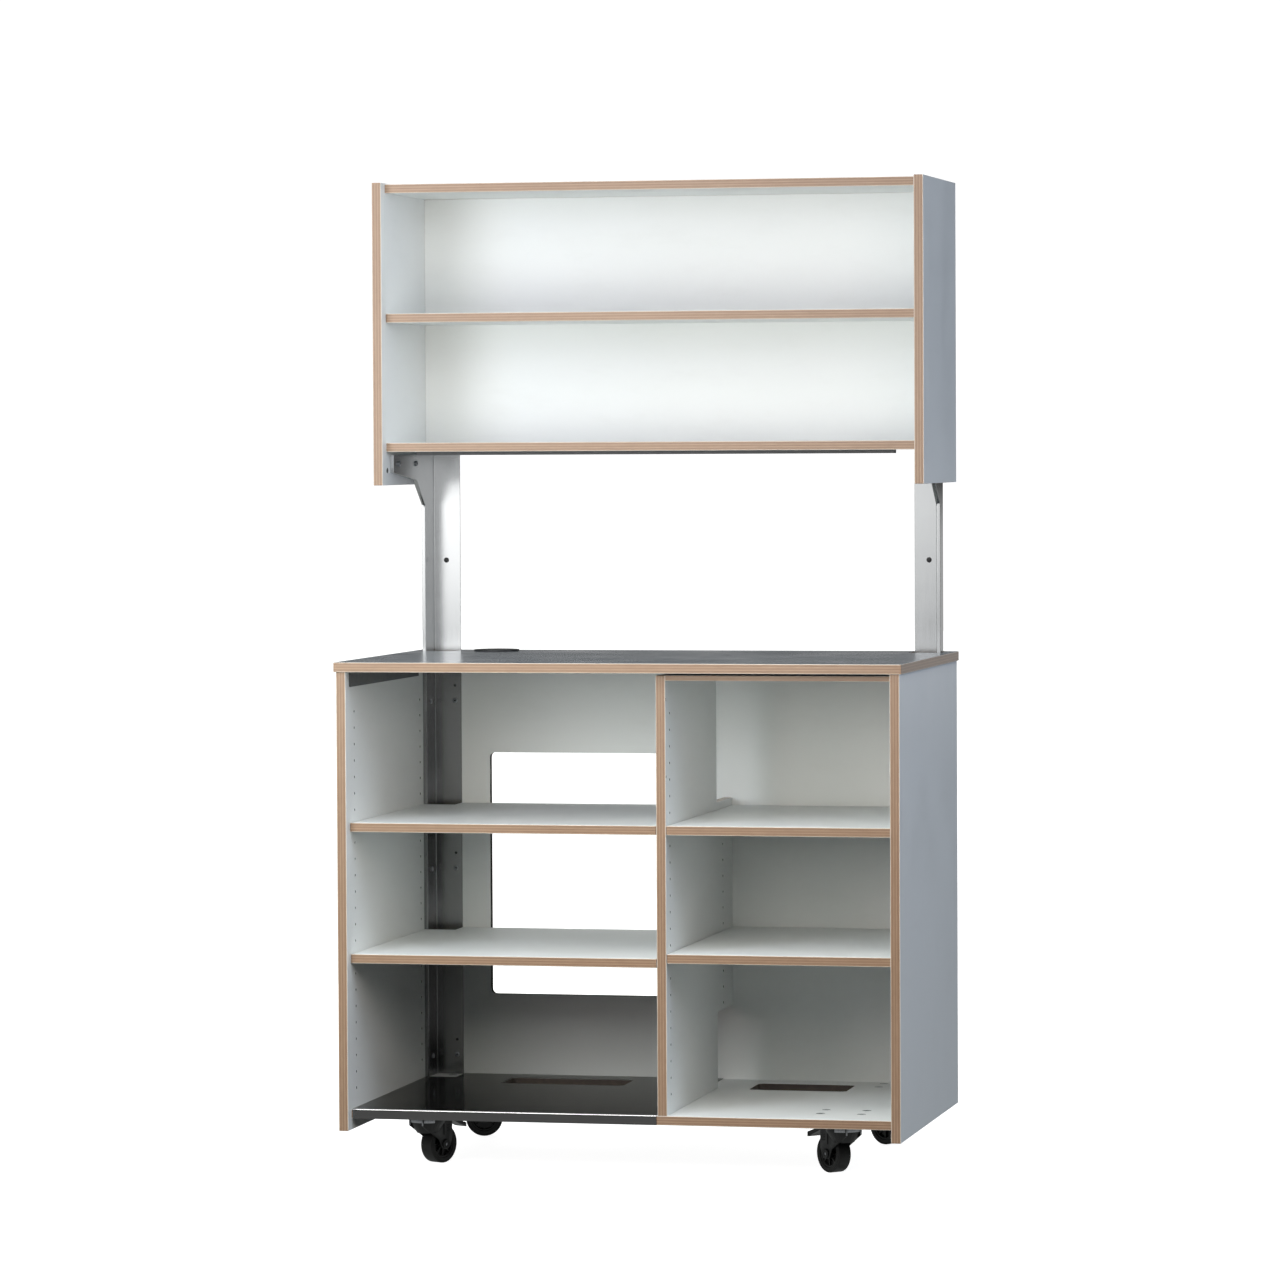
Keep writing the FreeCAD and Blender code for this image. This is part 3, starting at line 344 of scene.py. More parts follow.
def brushed_finish(name, stretch, depth, rough, pale, dark, shaded_below=0.0, grazing=FULL_GRAZING):
    """Brushed sheet metal, darkened below a height by painted shade."""
    finish = Finish(name, Metallic=1.0, Specular_Tint=grazing)
    graph = finish.graph
    lines = finish.use(BRUSH, Place=finish.place, Stretch=stretch)
    worn = graph.blend(CLOUD_SHARE, lines["Lines"], lines["Clouds"])
    rise = graph.split(finish.place)["Z"]
    # Painted shade: below the given height the brushed colour is mixed towards a dark steel.
    unshaded = graph.span(rise, shaded_below - PAINTED_SHADE_BLEND, shaded_below, PAINTED_SHADE_LIT_SHARE, 1.0)
    finish.set(Base_Color=graph.mix(unshaded, PAINTED_SHADE_STEEL, graph.mix(worn, dark, pale)))
    finish.set(Roughness=graph.span(worn, 0.0, 1.0, *rough))
    finish.bump(lines["Lines"], depth)
    return finish.material


def painted_finish(name, paint, rubbed, rough, gloss=0.5):
    """Paint, moulding or painted shade: a fine skin, paler where dust or rubbing shows."""
    finish = Finish(name, Specular_IOR_Level=gloss)
    graph = finish.graph
    skin = finish.use(MOULDED, Place=finish.place)
    finish.set(Base_Color=graph.mix(graph.math("MULTIPLY", skin["Dust"], DUST_SHARE), paint, rubbed))
    finish.set(Roughness=graph.span(skin["Dust"], 0.0, 1.0, *rough))
    finish.bump(skin["Height"], PAINT_BUMP)
    return finish.material


def plated_finish(name, rough):
    finish = Finish(name, Metallic=1.0)
    graph = finish.graph
    plate = finish.use(SPANGLE, Place=finish.place)
    tone = graph.blend(plate["Dull"], plate["Crystals"], CRYSTAL_SHARE)
    finish.set(Base_Color=graph.mix(tone, ZINC_SHADE, ZINC))
    finish.set(Roughness=graph.span(tone, 0.0, 1.0, *rough))
    finish.bump(plate["Dull"], PLATE_BUMP)
    return finish.material


def dowel_finish(name):
    finish = Finish(name)
    graph = finish.graph
    along = graph.vector("MULTIPLY", finish.place, DOWEL_GRAIN)
    grain = graph.noise(along, 1.0, 4.0)
    finish.set(Base_Color=graph.mix(grain, BEECH_DARK, BEECH))
    finish.set(Roughness=graph.span(grain, 0.0, 1.0, 0.5, 0.7))
    finish.bump(grain, BOARD_BUMP)
    return finish.material


white_board = {axis: board_finish(f"white_board_{axis}", axis, WHITE_SHEET, SHEET_SOIL, (0.34, 0.5), 0.5)
               for axis in "XYZ"}
grey_board = board_finish("grey_board_Z", "Z", GREY_SHEET, GREY_SHEET_WORN, (0.16, 0.24), 0.5)
upright_steel = brushed_finish("upright_steel", UPRIGHT_BRUSH, UPRIGHT_BUMP, UPRIGHT_ROUGHNESS, STAINLESS,
                               STAINLESS_SHADE, UPRIGHT_SHADED_BELOW)
tray_steel = brushed_finish("tray_steel", TRAY_BRUSH, TRAY_BUMP, TRAY_ROUGHNESS, TRAY_STEEL,
                            TRAY_STEEL_SHADE, grazing=TRAY_GRAZING)
rubbed_steel = brushed_finish("rubbed_steel", TRAY_BRUSH, TRAY_BUMP, TRAY_ROUGHNESS, PAINTED_HIGHLIGHT_STEEL,
                              PAINTED_HIGHLIGHT_STEEL_SHADE)
# Painted shade for bores and cut-outs: brown in the base panel, black elsewhere.
sealed_wood = painted_finish("sealed_wood", PAINTED_SHADE_VENEER, PAINTED_SHADE_VENEER_RUBBED, (0.5, 0.7))
black_sealer = painted_finish("black_sealer", PAINTED_SHADE_BLACK, PAINTED_SHADE_BLACK_RUBBED, (0.6, 0.8),
                              PAINTED_SHADE_BLACK_GLOSS)
recess_soil = painted_finish("recess_soil", RECESS_PAINTED_SHADE, RECESS_PAINTED_SHADE_RUBBED, (0.5, 0.7))
dark_paint = painted_finish("dark_paint", DARK_PAINT, DARK_PAINT_RUBBED, (0.38, 0.55))
black_moulding = painted_finish("black_moulding", BLACK_MOULDING, BLACK_MOULDING_DUST, (0.36, 0.6))
tyre_rubber = painted_finish("tyre_rubber", TYRE_RUBBER, TYRE_DUST, (0.55, 0.85))
zinc_plate = plated_finish("zinc_plate", (0.28, 0.5))
beech = dowel_finish("beech")

BOARDS = {
    "X": ("left_side_panel", "right_side_panel", "divider_panel", "upper_left_side", "upper_right_side"),
    "Y": ("base_back_panel", "upper_back_panel"),
    "Z": ("base_panel", "bay_top_panel", "upper_left_shelf", "upper_right_shelf", "lower_left_shelf",
          "lower_right_shelf", "upper_bottom_panel", "upper_top_panel", "upper_middle_shelf"),
}
FINISHES = {name: white_board[axis] for axis, names in BOARDS.items() for name in names}
FINISHES["worktop"] = grey_board
FINISHES["floor_tray"] = tray_steel
for name in ("left_upright", "right_upright"):
    FINISHES[name] = upright_steel
for name in ("worktop_angle", "under_panel_rail"):
    FINISHES[name] = dark_paint
for name in ("cable_sleeve", "cable_cap"):
    FINISHES[name] = black_moulding
for name in ("shelf_pins", "upright_screws", "arm_bolts", "castor_bolts"):
    FINISHES[name] = zinc_plate
FINISHES["panel_dowels"] = beech
for castor in CASTORS:
    for piece in ("castor_plate", "kingpin", "axle"):
        FINISHES[f"{castor}_{piece}"] = zinc_plate
    for piece in ("fork", "hub", "brake_pedal"):
        FINISHES[f"{castor}_{piece}"] = black_moulding
    FINISHES[f"{castor}_tyre"] = tyre_rubber

for name, node in nodes.items():
    node.data.materials.clear()
    node.data.materials.append(FINISHES[name])


def add_piece(name, mesh, finish, body, *replaced):
    """A finished mesh as a piece that rides on a body and stands for CAD nodes."""
    mesh.materials.append(finish)
    piece = bpy.data.objects.new(name, mesh)
    bpy.context.scene.collection.objects.link(piece)
    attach(piece, body)
    if replaced:
        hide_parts(*replaced)
    return piece


# Shapes.
SAME_POINT = 1e-6
FLAT_WITHIN = math.radians(1)
SHARP_FROM = math.radians(50)
SMOOTH_BELOW = math.radians(35)
SHORTEST_EDGE = 0.0016
FOLD_WIDTH = 0.004
FOLD_LENGTH = 0.4
FOLD_STEPS = 5
TURN_STEPS = 64


def whole_mesh(name):
    """A CAD node's mesh with its split points joined and its flat faces whole."""
    mesh = bmesh.new()
    mesh.from_mesh(nodes[name].data)
    bmesh.ops.remove_doubles(mesh, verts=mesh.verts, dist=SAME_POINT)
    bmesh.ops.dissolve_limit(mesh, angle_limit=FLAT_WITHIN, verts=mesh.verts, edges=mesh.edges)
    return mesh


def sharp_edges(mesh):
    edges = [edge for edge in mesh.edges if edge.is_manifold and edge.calc_length() > SHORTEST_EDGE]
    return [edge for edge in edges if edge.calc_face_angle() > SHARP_FROM]


def is_fold(edge):
    """Whether a long edge lies between two broad faces and not at the rim of a sheet."""
    length = edge.calc_length()
    return length > FOLD_LENGTH and min(face.calc_area() for face in edge.link_faces) > FOLD_WIDTH * length


def runs_along(edge, axis):
    """Whether an edge runs along an axis, given as 0, 1 or 2."""
    across = edge.verts[0].co - edge.verts[1].co
    return abs(across[axis]) > across.length - SAME_POINT


def ease(mesh, edges, rounding, segments=2):
    bmesh.ops.bevel(mesh, geom=edges, offset=rounding, segments=segments, profile=0.5, affect="EDGES",
                    clamp_overlap=False)


def finished(mesh, name, smooth):
    """A mesh ready for a piece, with flat faces or with smooth ones between its sharp edges."""
    bmesh.ops.recalc_face_normals(mesh, faces=mesh.faces)
    made = bpy.data.meshes.new(name)
    mesh.to_mesh(made)
    mesh.free()
    made.polygons.foreach_set("use_smooth", [smooth] * len(made.polygons))
    if smooth:
        made.set_sharp_from_angle(angle=SMOOTH_BELOW)
    return made


def rounded_copy(name, ending, rounding, fold_rounding=0.0, smooth=False):
    """A copy of a node with its sharp edges eased, which stands for the node."""
    mesh = whole_mesh(name)
    if fold_rounding:
        ease(mesh, [edge for edge in sharp_edges(mesh) if is_fold(edge)], fold_rounding, FOLD_STEPS)
    ease(mesh, sharp_edges(mesh), rounding)
    made = finished(mesh, name + ending, smooth)
    return add_piece(name + ending, made, FINISHES[name], nodes[name]["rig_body"], name)


def join_rings(mesh, first, second):
    """Faces between two rings of points, either of which may be a single point."""
    count = max(len(first), len(second))
    for index in range(count):
        following = (index + 1) % count
        corners = [first[index % len(first)], first[following % len(first)],
                   second[following % len(second)], second[index % len(second)]]
        mesh.faces.new(list(dict.fromkeys(corners)))


def turned(mesh, profile, place, closed=False):
    """A body of revolution about the place's Z axis; the profile is (radius, height) pairs."""
    rings = []
    for radius, height in profile:
        angles = [math.tau * step / TURN_STEPS for step in range(TURN_STEPS)] if radius else [0.0]
        rings.append([mesh.verts.new(place @ Vector((radius * math.cos(a), radius * math.sin(a), height)))
                      for a in angles])
    following = rings[1:] + rings[:1] if closed else rings[1:]
    for first, second in zip(rings, following):
        join_rings(mesh, first, second)


def slab(mesh, outline, near, far, place):
    """A flat piece: an outline in the place's XY plane, drawn out from near to far along its Z axis."""
    low = [mesh.verts.new(place @ Vector((x, y, near))) for x, y in outline]
    high = [mesh.verts.new(place @ Vector((x, y, far))) for x, y in outline]
    join_rings(mesh, low, high)
    mesh.faces.new(low)
    mesh.faces.new(high)


def rectangle(width, height, x=0.0, y=0.0):
    return [(x - width / 2, y - height / 2), (x + width / 2, y - height / 2),
            (x + width / 2, y + height / 2), (x - width / 2, y + height / 2)]


def hexagon(across_flats):
    radius = across_flats / 2 / math.cos(math.pi / 6)
    turns = [math.pi / 3 * side for side in range(6)]
    return [(radius * math.cos(a), radius * math.sin(a)) for a in turns]


def arc(centre, radius, start, end, steps=4):
    angles = [math.radians(start + (end - start) * step / steps) for step in range(steps + 1)]
    return [(centre[0] + radius * math.cos(a), centre[1] + radius * math.sin(a)) for a in angles]


def mirrored(side):
    """A closed section from its upper half, as (radius, height) pairs."""
    return side + [(radius, -height) for radius, height in reversed(side)]


def middle(name):
    low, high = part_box(name)
    return (low + high) / 2


def solids_of(name):
    """The lowest and highest corner of each separate solid in a node."""
    mesh = whole_mesh(name)
    left = set(mesh.verts)
    boxes = []
    while left:
        found = [left.pop()]
        for vertex in found:
            fresh = {edge.other_vert(vertex) for edge in vertex.link_edges} & left
            left -= fresh
            found += fresh
        corners = [[vertex.co[axis] for vertex in found] for axis in range(3)]
        boxes.append((Vector(map(min, corners)), Vector(map(max, corners))))
    mesh.free()
    return sorted(boxes, key=lambda box: tuple(box[0]))


# Boards, folded sheets and the cable outlet.
BOARD_EASE = 0.0008
SHEET_EASE = 0.0005
UPRIGHT_FOLD = 0.002
TRAY_FOLD = 0.003
MOULDING_EASE = 0.0006
BORE_FACE = 0.00006
EDGE_STRIP = 0.004
# How far a tray facet must face front and up to take the painted highlight.
HIGHLIGHT_SLANT = 0.2
# Boards whose cut-outs all take painted shade.
FULLY_SHADED_BOARDS = ("base_panel", "base_back_panel")


def shade_cut_outs(piece, name, axis):
    """Paints shade into a board's bores, and into every cut-out of the base panel and base back panel: brown
    in the base panel, else black.
    """
    low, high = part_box(name)
    across = "XYZ".index(axis)
    along = [index for index in range(3) if index != across]
    # Painted shade: the inner faces of bores and cut-outs take the second material.
    piece.data.materials.append(sealed_wood if name == "base_panel" else black_sealer)
    for face in piece.data.polygons:
        on_edge = abs(face.normal[across]) < FACE_FROM
        inside = all(low[i] + EDGE_STRIP < face.center[i] < high[i] - EDGE_STRIP for i in along)
        small = face.area < BORE_FACE or name in FULLY_SHADED_BOARDS
        face.material_index = int(on_edge and inside and small)


for axis, names in BOARDS.items():
    for name in names:
        shade_cut_outs(rounded_copy(name, "_board", BOARD_EASE), name, axis)
shade_cut_outs(rounded_copy("worktop", "_board", BOARD_EASE), "worktop", "Z")
for name in ("left_upright", "right_upright"):
    rounded_copy(name, "_sheet", SHEET_EASE, UPRIGHT_FOLD)
tray = rounded_copy("floor_tray", "_sheet", SHEET_EASE, TRAY_FOLD)
# Painted highlight: the tray fold's facets that face front and up take the bright steel.
tray.data.materials.append(rubbed_steel)
for face in tray.data.polygons:
    face.material_index = int(face.normal.y < -HIGHLIGHT_SLANT and face.normal.z > HIGHLIGHT_SLANT)
for name in ("worktop_angle", "under_panel_rail"):
    rounded_copy(name, "_sheet", SHEET_EASE)
for name in ("cable_sleeve", "cable_cap"):
    rounded_copy(name, "_moulded", MOULDING_EASE, smooth=True)

# Fasteners: each head is a dome with its drive recess sunk into it and painted dark as shade.
HEAD_RING_SHARES = (0.12, 0.24, 0.34, 0.42, 0.47, 0.52, 0.6, 0.74, 0.87, 0.95, 1.0)
HEAD_STEPS = 48
CROSS_ARM_SHARE = 0.17
CROSS_REACH_SHARE = 0.55
SOCKET_SHARE = 0.44
POINT_LENGTH = 0.002


def cross_recess(x, y):
    return min(abs(x), abs(y)) < CROSS_ARM_SHARE and max(abs(x), abs(y)) < CROSS_REACH_SHARE


def hex_recess(x, y):
    flats = (0, math.pi / 3, 2 * math.pi / 3)
    return max(abs(x * math.cos(a) + y * math.sin(a)) for a in flats) < SOCKET_SHARE


class Head:
    """The shape of a fastener's head and shank."""

    def __init__(self, height, dome, depth, recess, shank):
        self.height = height
        self.dome = dome
        self.depth = depth
        self.recess = recess
        self.shank = shank

    def level(self, x, y):
        """How high the head stands at a point given in shares of its radius."""
        sunk = self.depth if self.recess(x, y) else 0.0
        return self.height - self.dome * (x * x + y * y) - sunk

    def draw(self, mesh, place, radius, length):
        """Adds the head on the place's XY plane and its shank below it."""
        rings = [[mesh.verts.new(place @ Vector((0, 0, self.level(0, 0))))]]
        sunk = set(rings[0])
        turns = [math.tau * step / HEAD_STEPS for step in range(HEAD_STEPS)]
        for share in HEAD_RING_SHARES:
            points = [(share * math.cos(a), share * math.sin(a)) for a in turns]
            ring = [mesh.verts.new(place @ Vector((x * radius, y * radius, self.level(x, y))))
                    for x, y in points]
            sunk.update(vert for vert, (x, y) in zip(ring, points) if self.recess(x, y))
            rings.append(ring)
        rings.append([mesh.verts.new(place @ Vector((radius * math.cos(a), radius * math.sin(a), 0)))
                      for a in turns])
        rings.append([mesh.verts.new(place.translation)])
        for first, second in zip(rings, rings[1:]):
            join_rings(mesh, first, second)
        # Painted shade: faces wholly inside the drive recess take the second material.
        for face in {face for vert in sunk for face in vert.link_faces}:
            face.material_index = int(sunk.issuperset(face.verts))
        shank_end = -length + self.height
        turned(mesh, [(0, 0), (self.shank, 0), (self.shank, shank_end + POINT_LENGTH),
                      (self.shank - POINT_LENGTH / 2, shank_end), (0, shank_end)], place)


def seat_of(low, high, head_height):
    """Where a screw's head seats, as a place whose Z axis points out of the head."""
    size = high - low
    axis = max(range(3), key=lambda index: size[index])
    outward = Vector((0, 0, 0))
    outward[axis] = -1.0 if axis == 1 or low[axis] > 0 else 1.0
    seat = (low + high) / 2
    seat[axis] = (high[axis] if outward[axis] > 0 else low[axis]) - outward[axis] * head_height
    return Matrix.Translation(seat) @ outward.to_track_quat("Z", "Y").to_matrix().to_4x4()


SCREW_HEADS = {
    "upright_screws": Head(0.003, 0.0012, 0.0018, cross_recess, 0.0025),
    "arm_bolts": Head(0.004, 0.0014, 0.0024, hex_recess, 0.003),
}
for name, head in SCREW_HEADS.items():
    mesh = bmesh.new()
    for low, high in solids_of(name):
        width, _, length = sorted(high - low)
        head.draw(mesh, seat_of(low, high, head.height), width / 2, length)
    driven = finished(mesh, f"{name}_driven", smooth=True)
    add_piece(f"{name}_driven", driven, zinc_plate, "cabinet", name)
    driven.materials.append(recess_soil)

CASTOR_BOLT_HEAD = Head(0.004, 0.0003, 0.0025, hex_recess, 0.004)
NUT_FLATS = 0.0125
NUT_HEIGHT = 0.0055
NUT_EASE = 0.0005
mesh = bmesh.new()
for low, high in solids_of("castor_bolts"):
    x, y, _ = (low + high) / 2
    slab(mesh, hexagon(NUT_FLATS), 0.0, NUT_HEIGHT, Matrix.Translation((x, y, low.z)))
ease(mesh, sharp_edges(mesh), NUT_EASE)
for low, high in solids_of("castor_bolts"):
    x, y, _ = (low + high) / 2
    seat = Matrix.Translation((x, y, high.z - CASTOR_BOLT_HEAD.height))
    CASTOR_BOLT_HEAD.draw(mesh, seat, (high.x - low.x) / 2, high.z - low.z)
driven = finished(mesh, "castor_bolts_driven", smooth=True)
add_piece("castor_bolts_driven", driven, zinc_plate, "cabinet", "castor_bolts")
driven.materials.append(recess_soil)

# Black plugs close the spare holes of the upright webs and of the upper sides.
SPARE_HOLE_RISE = 0.031
SPARE_HOLE_RADIUS = 0.0025
PLUG_LIP = 0.0004
PLUG_DOME = 0.0009
PLUG_STEM = 0.002
PLUG_STEPS = 5
FORWARD = Matrix.Rotation(math.radians(90), 4, "X")


def draw_plug(mesh, place, hole_radius):
    radius = hole_radius + PLUG_LIP
    dome = [(radius * math.cos(a), PLUG_DOME * math.sin(a))
            for a in (math.pi / 2 * step / PLUG_STEPS for step in range(PLUG_STEPS))]
    stem = hole_radius - PLUG_LIP
    turned(mesh, [(0, -PLUG_STEM), (stem, -PLUG_STEM), (stem, 0)] + dome + [(0, PLUG_DOME)], place)


web_holes = next(mount for mount in frame["record"]["mounts"] if mount["name"] == "upright_web_holes")
hole_spread = web_holes["dims"]["spacing_x_mm"] / 2000
hole_radius = web_holes["dims"]["hole_r_mm"] / 1000
web_screws = [(low, high) for low, high in solids_of("upright_screws") if high.y - low.y > high.x - low.x]
web_face = web_screws[0][0].y + SCREW_HEADS["upright_screws"].height
mesh = bmesh.new()
for side in (-1, 1):
    place = Matrix.Translation((side * hole_spread, web_face, web_holes["pos_m"][2])) @ FORWARD
    draw_plug(mesh, place, hole_radius)
for low, high in web_screws:
    rise = (low.z + high.z) / 2 + SPARE_HOLE_RISE
    draw_plug(mesh, Matrix.Translation(((low.x + high.x) / 2, web_face, rise)) @ FORWARD, SPARE_HOLE_RADIUS)
SIDE_PLUG_Y = -0.0109
SIDE_PLUG_Z = 1.3615
SIDE_PLUG_HOLE = 0.0051
for name, side in (("upper_left_side", 1), ("upper_right_side", -1)):
    low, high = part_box(name)
    face = high.x if side > 0 else low.x
    inward = Matrix.Rotation(math.radians(90 * side), 4, "Y")
    draw_plug(mesh, Matrix.Translation((face, SIDE_PLUG_Y, SIDE_PLUG_Z)) @ inward, SIDE_PLUG_HOLE)
plugs = add_piece("hole_plugs", finished(mesh, "hole_plugs", smooth=True), black_moulding, "cabinet")


# Castors.
class Castor:
    """A castor's own frame: X along its trail, Y across its wheel, Z up from the floor below the pivot."""

    def __init__(self, name):
        self.name = name
        pivot = middle(f"{name}_castor_plate")
        trail = middle(f"{name}_tyre") - pivot
        turn = Matrix.Rotation(math.atan2(trail.y, trail.x), 4, "Z")
        self.frame = Matrix.Translation((pivot.x, pivot.y, 0)) @ turn
        centre = self.frame.inverted() @ middle(f"{name}_tyre")
        self.axle = Matrix.Translation(centre) @ Matrix.Rotation(math.radians(-90), 4, "X")

    def span(self, piece):
        """The lowest and highest corner of a node in this frame."""
        back = self.frame.inverted()
        points = [back @ vertex.co for vertex in nodes[f"{self.name}_{piece}"].data.vertices]
        return Vector(map(min, zip(*points))), Vector(map(max, zip(*points)))

    def copy_of(self, piece):
        mesh = whole_mesh(f"{self.name}_{piece}")
        mesh.transform(self.frame.inverted())
        return mesh

    def add(self, mesh, ending, finish, piece):
        """Sets a mesh drawn in this frame in place as a piece that stands for a node."""
        mesh.transform(self.frame)
        node = f"{self.name}_{piece}"
        made = finished(mesh, node + ending, smooth=True)
        return add_piece(node + ending, made, finish, nodes[node]["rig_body"], node)


SIDE_STEP = 0.001
SHOULDER = 0.0016
GROOVE_INSET = 0.0046
GROOVE = 0.0007
AXLE_RADIUS = 0.005
BOSS_RADIUS = 0.010
RIM_WIDTH = 0.003
RIM_INSET = 0.0018
WEB_HALF = 0.006
RIB_COUNT = 8
RIB_THICKNESS = 0.0022
RIB_INSET = 0.0032


def dress_wheel(castor):
    """A tyre with a groove below each shoulder, on a ribbed hub."""
    low, high = castor.span("tyre")
    half = (high.y - low.y) / 2
    radius = (high.z - low.z) / 2
    hub_low, hub_high = castor.span("hub")
    bore = (hub_high.z - hub_low.z) / 2
    boss_half = (hub_high.y - hub_low.y) / 2
    groove = radius - GROOVE_INSET
    side = [(bore, half - SIDE_STEP), (bore + SIDE_STEP, half), (groove, half),
            (groove + GROOVE, half - GROOVE), (groove + 2 * GROOVE, half - GROOVE),
            (groove + 3 * GROOVE, half)]
    side += arc((radius - SHOULDER, half - SHOULDER), SHOULDER, 90, 0)
    mesh = bmesh.new()
    turned(mesh, mirrored(side), castor.axle, closed=True)
    castor.add(mesh, "_rubber", tyre_rubber, "tyre")
    rim = bore - RIM_WIDTH
    rim_half = half - RIM_INSET
    side = [(AXLE_RADIUS, boss_half), (BOSS_RADIUS - SIDE_STEP, boss_half),
            (BOSS_RADIUS, boss_half - SIDE_STEP), (BOSS_RADIUS + SIDE_STEP, WEB_HALF),
            (rim - SIDE_STEP, WEB_HALF), (rim, rim_half - SIDE_STEP / 2),
            (rim + SIDE_STEP / 2, rim_half), (bore, rim_half)]
    mesh = bmesh.new()
    turned(mesh, mirrored(side), castor.axle, closed=True)
    rib = rectangle(rim - BOSS_RADIUS, RIB_THICKNESS, (rim + BOSS_RADIUS) / 2)
    for number in range(RIB_COUNT):
        spoke = castor.axle @ Matrix.Rotation(math.tau * number / RIB_COUNT, 4, "Z")
        slab(mesh, rib, -half + RIB_INSET, half - RIB_INSET, spoke)
    castor.add(mesh, "_moulded", black_moulding, "hub")


LEG_END_ROUNDING = 0.008
LEG_END_STEPS = 6
CROWN_HEIGHT = 0.008
CROWN_COVER = -0.014


def dress_fork(castor):
    """A moulded fork with rounded leg ends, whose plated crown shows at the front."""
    mesh = castor.copy_of("fork")
    _, high = castor.span("fork")
    axle_rise = castor.axle.translation.z
    ends = [edge for edge in sharp_edges(mesh)
            if runs_along(edge, 1) and max(vertex.co.z for vertex in edge.verts) < axle_rise]
    ease(mesh, ends, LEG_END_ROUNDING, LEG_END_STEPS)
    ease(mesh, sharp_edges(mesh), MOULDING_EASE)
    for face in mesh.faces:
        centre = face.calc_center_median()
        face.material_index = int(centre.z > high.z - CROWN_HEIGHT and centre.x < CROWN_COVER)
    piece = castor.add(mesh, "_moulded", black_moulding, "fork")
    piece.data.materials.append(zinc_plate)


AXLE_HEAD_HEIGHT = 0.0025
RIB_HEIGHT = 0.0009
RIB_WIDTH = 0.0016
RIB_EASE = 0.0003
SHORT_RIB_LENGTH = 0.011
SHORT_RIB_PLACE = 0.0435
SHORT_RIB_RISES = (0.064, 0.069, 0.074)
SPINE_PLACE = 0.028
SPINE_RISE = 0.067
SPINE_LENGTH = 0.022
CAP_RADIUS = 0.0095
CAP_BORE = 0.0034
CAP_HEIGHT = 0.003
CAP_EASE = 0.0008
RIVET_INSET = 0.0012
RIVET_DOME = 0.0006


def dress_legs(castor):
    """Stiffening ribs on the fork's legs, a cap round each end of the axle, and the axle's riveted ends."""
    _, high = castor.span("axle")
    leg_face = high.y - AXLE_HEAD_HEIGHT
    ribs = bmesh.new()
    for side in (-1, 1):
        face = Matrix(((1, 0, 0, 0), (0, 0, side, side * leg_face), (0, 1, 0, 0), (0, 0, 0, 1)))
        outlines = [rectangle(SHORT_RIB_LENGTH, RIB_WIDTH, SHORT_RIB_PLACE, rise)
                    for rise in SHORT_RIB_RISES]
        outlines.append(rectangle(RIB_WIDTH, SPINE_LENGTH, SPINE_PLACE, SPINE_RISE))
        for outline in outlines:
            slab(ribs, outline, -RIB_HEIGHT, RIB_HEIGHT, face)
    ease(ribs, sharp_edges(ribs), RIB_EASE)
    cap_top = leg_face + CAP_HEIGHT
    rivet_top = cap_top - RIVET_INSET
    cap = [(CAP_BORE, leg_face - CAP_EASE), (CAP_BORE, cap_top), (CAP_RADIUS - CAP_EASE, cap_top),
           (CAP_RADIUS, cap_top - CAP_EASE), (CAP_RADIUS, leg_face - CAP_EASE)]
    rivet = [(0, rivet_top + RIVET_DOME), (CAP_BORE / 2, rivet_top + RIVET_DOME / 2), (CAP_BORE, rivet_top),
             (CAP_BORE, leg_face - CAP_EASE), (AXLE_RADIUS, leg_face - CAP_EASE)]
    axle = bmesh.new()
    turned(axle, rivet + [(radius, -height) for radius, height in reversed(rivet)], castor.axle)
    for side in (-1, 1):
        turned(ribs, [(radius, side * height) for radius, height in cap], castor.axle, closed=True)
    castor.add(ribs, "_ribs", black_moulding, "fork")
    castor.add(axle, "_riveted", zinc_plate, "axle")


PLATE_CORNER = 0.008
PLATE_CORNER_STEPS = 6


def dress_plate(castor):
    """A top plate with round corners, over its swivel race."""
    mesh = castor.copy_of("castor_plate")
    ease(mesh, [edge for edge in sharp_edges(mesh) if runs_along(edge, 2)], PLATE_CORNER, PLATE_CORNER_STEPS)
    ease(mesh, sharp_edges(mesh), SHEET_EASE)
    castor.add(mesh, "_pressed", zinc_plate, "castor_plate")


GRIP_SHARES = (0.42, 0.55, 0.68, 0.81, 0.94)
GRIP_WIDTH = 0.0018
GRIP_REACH_SHARE = 0.8
PEDAL_EASE = 0.001


def dress_pedal(castor):
    """A brake pedal with eased edges and grip ribs across its tread."""
    mesh = castor.copy_of("brake_pedal")
    low, high = castor.span("brake_pedal")
    tread = BVHTree.FromBMesh(mesh)
    ease(mesh, sharp_edges(mesh), PEDAL_EASE)
    grips = bmesh.new()
    bar = rectangle(GRIP_WIDTH, GRIP_REACH_SHARE * (high.y - low.y))
    for share in GRIP_SHARES:
        above_tread = Vector((low.x + share * (high.x - low.x), 0, 1))
        point, normal, _, _ = tread.ray_cast(above_tread, Vector((0, 0, -1)))
        tilt = Matrix.Rotation(math.atan2(normal.x, normal.z), 4, "Y")
        slab(grips, bar, -RIB_HEIGHT, RIB_HEIGHT, Matrix.Translation(point) @ tilt)
    ease(grips, sharp_edges(grips), RIB_EASE)
    castor.add(mesh, "_moulded", black_moulding, "brake_pedal")
    castor.add(grips, "_grips", black_moulding, "brake_pedal")


for name in CASTORS:
    castor = Castor(name)
    dress_wheel(castor)
    dress_fork(castor)
    dress_legs(castor)
    dress_plate(castor)
    if name in BRAKED_CASTORS:
        dress_pedal(castor)


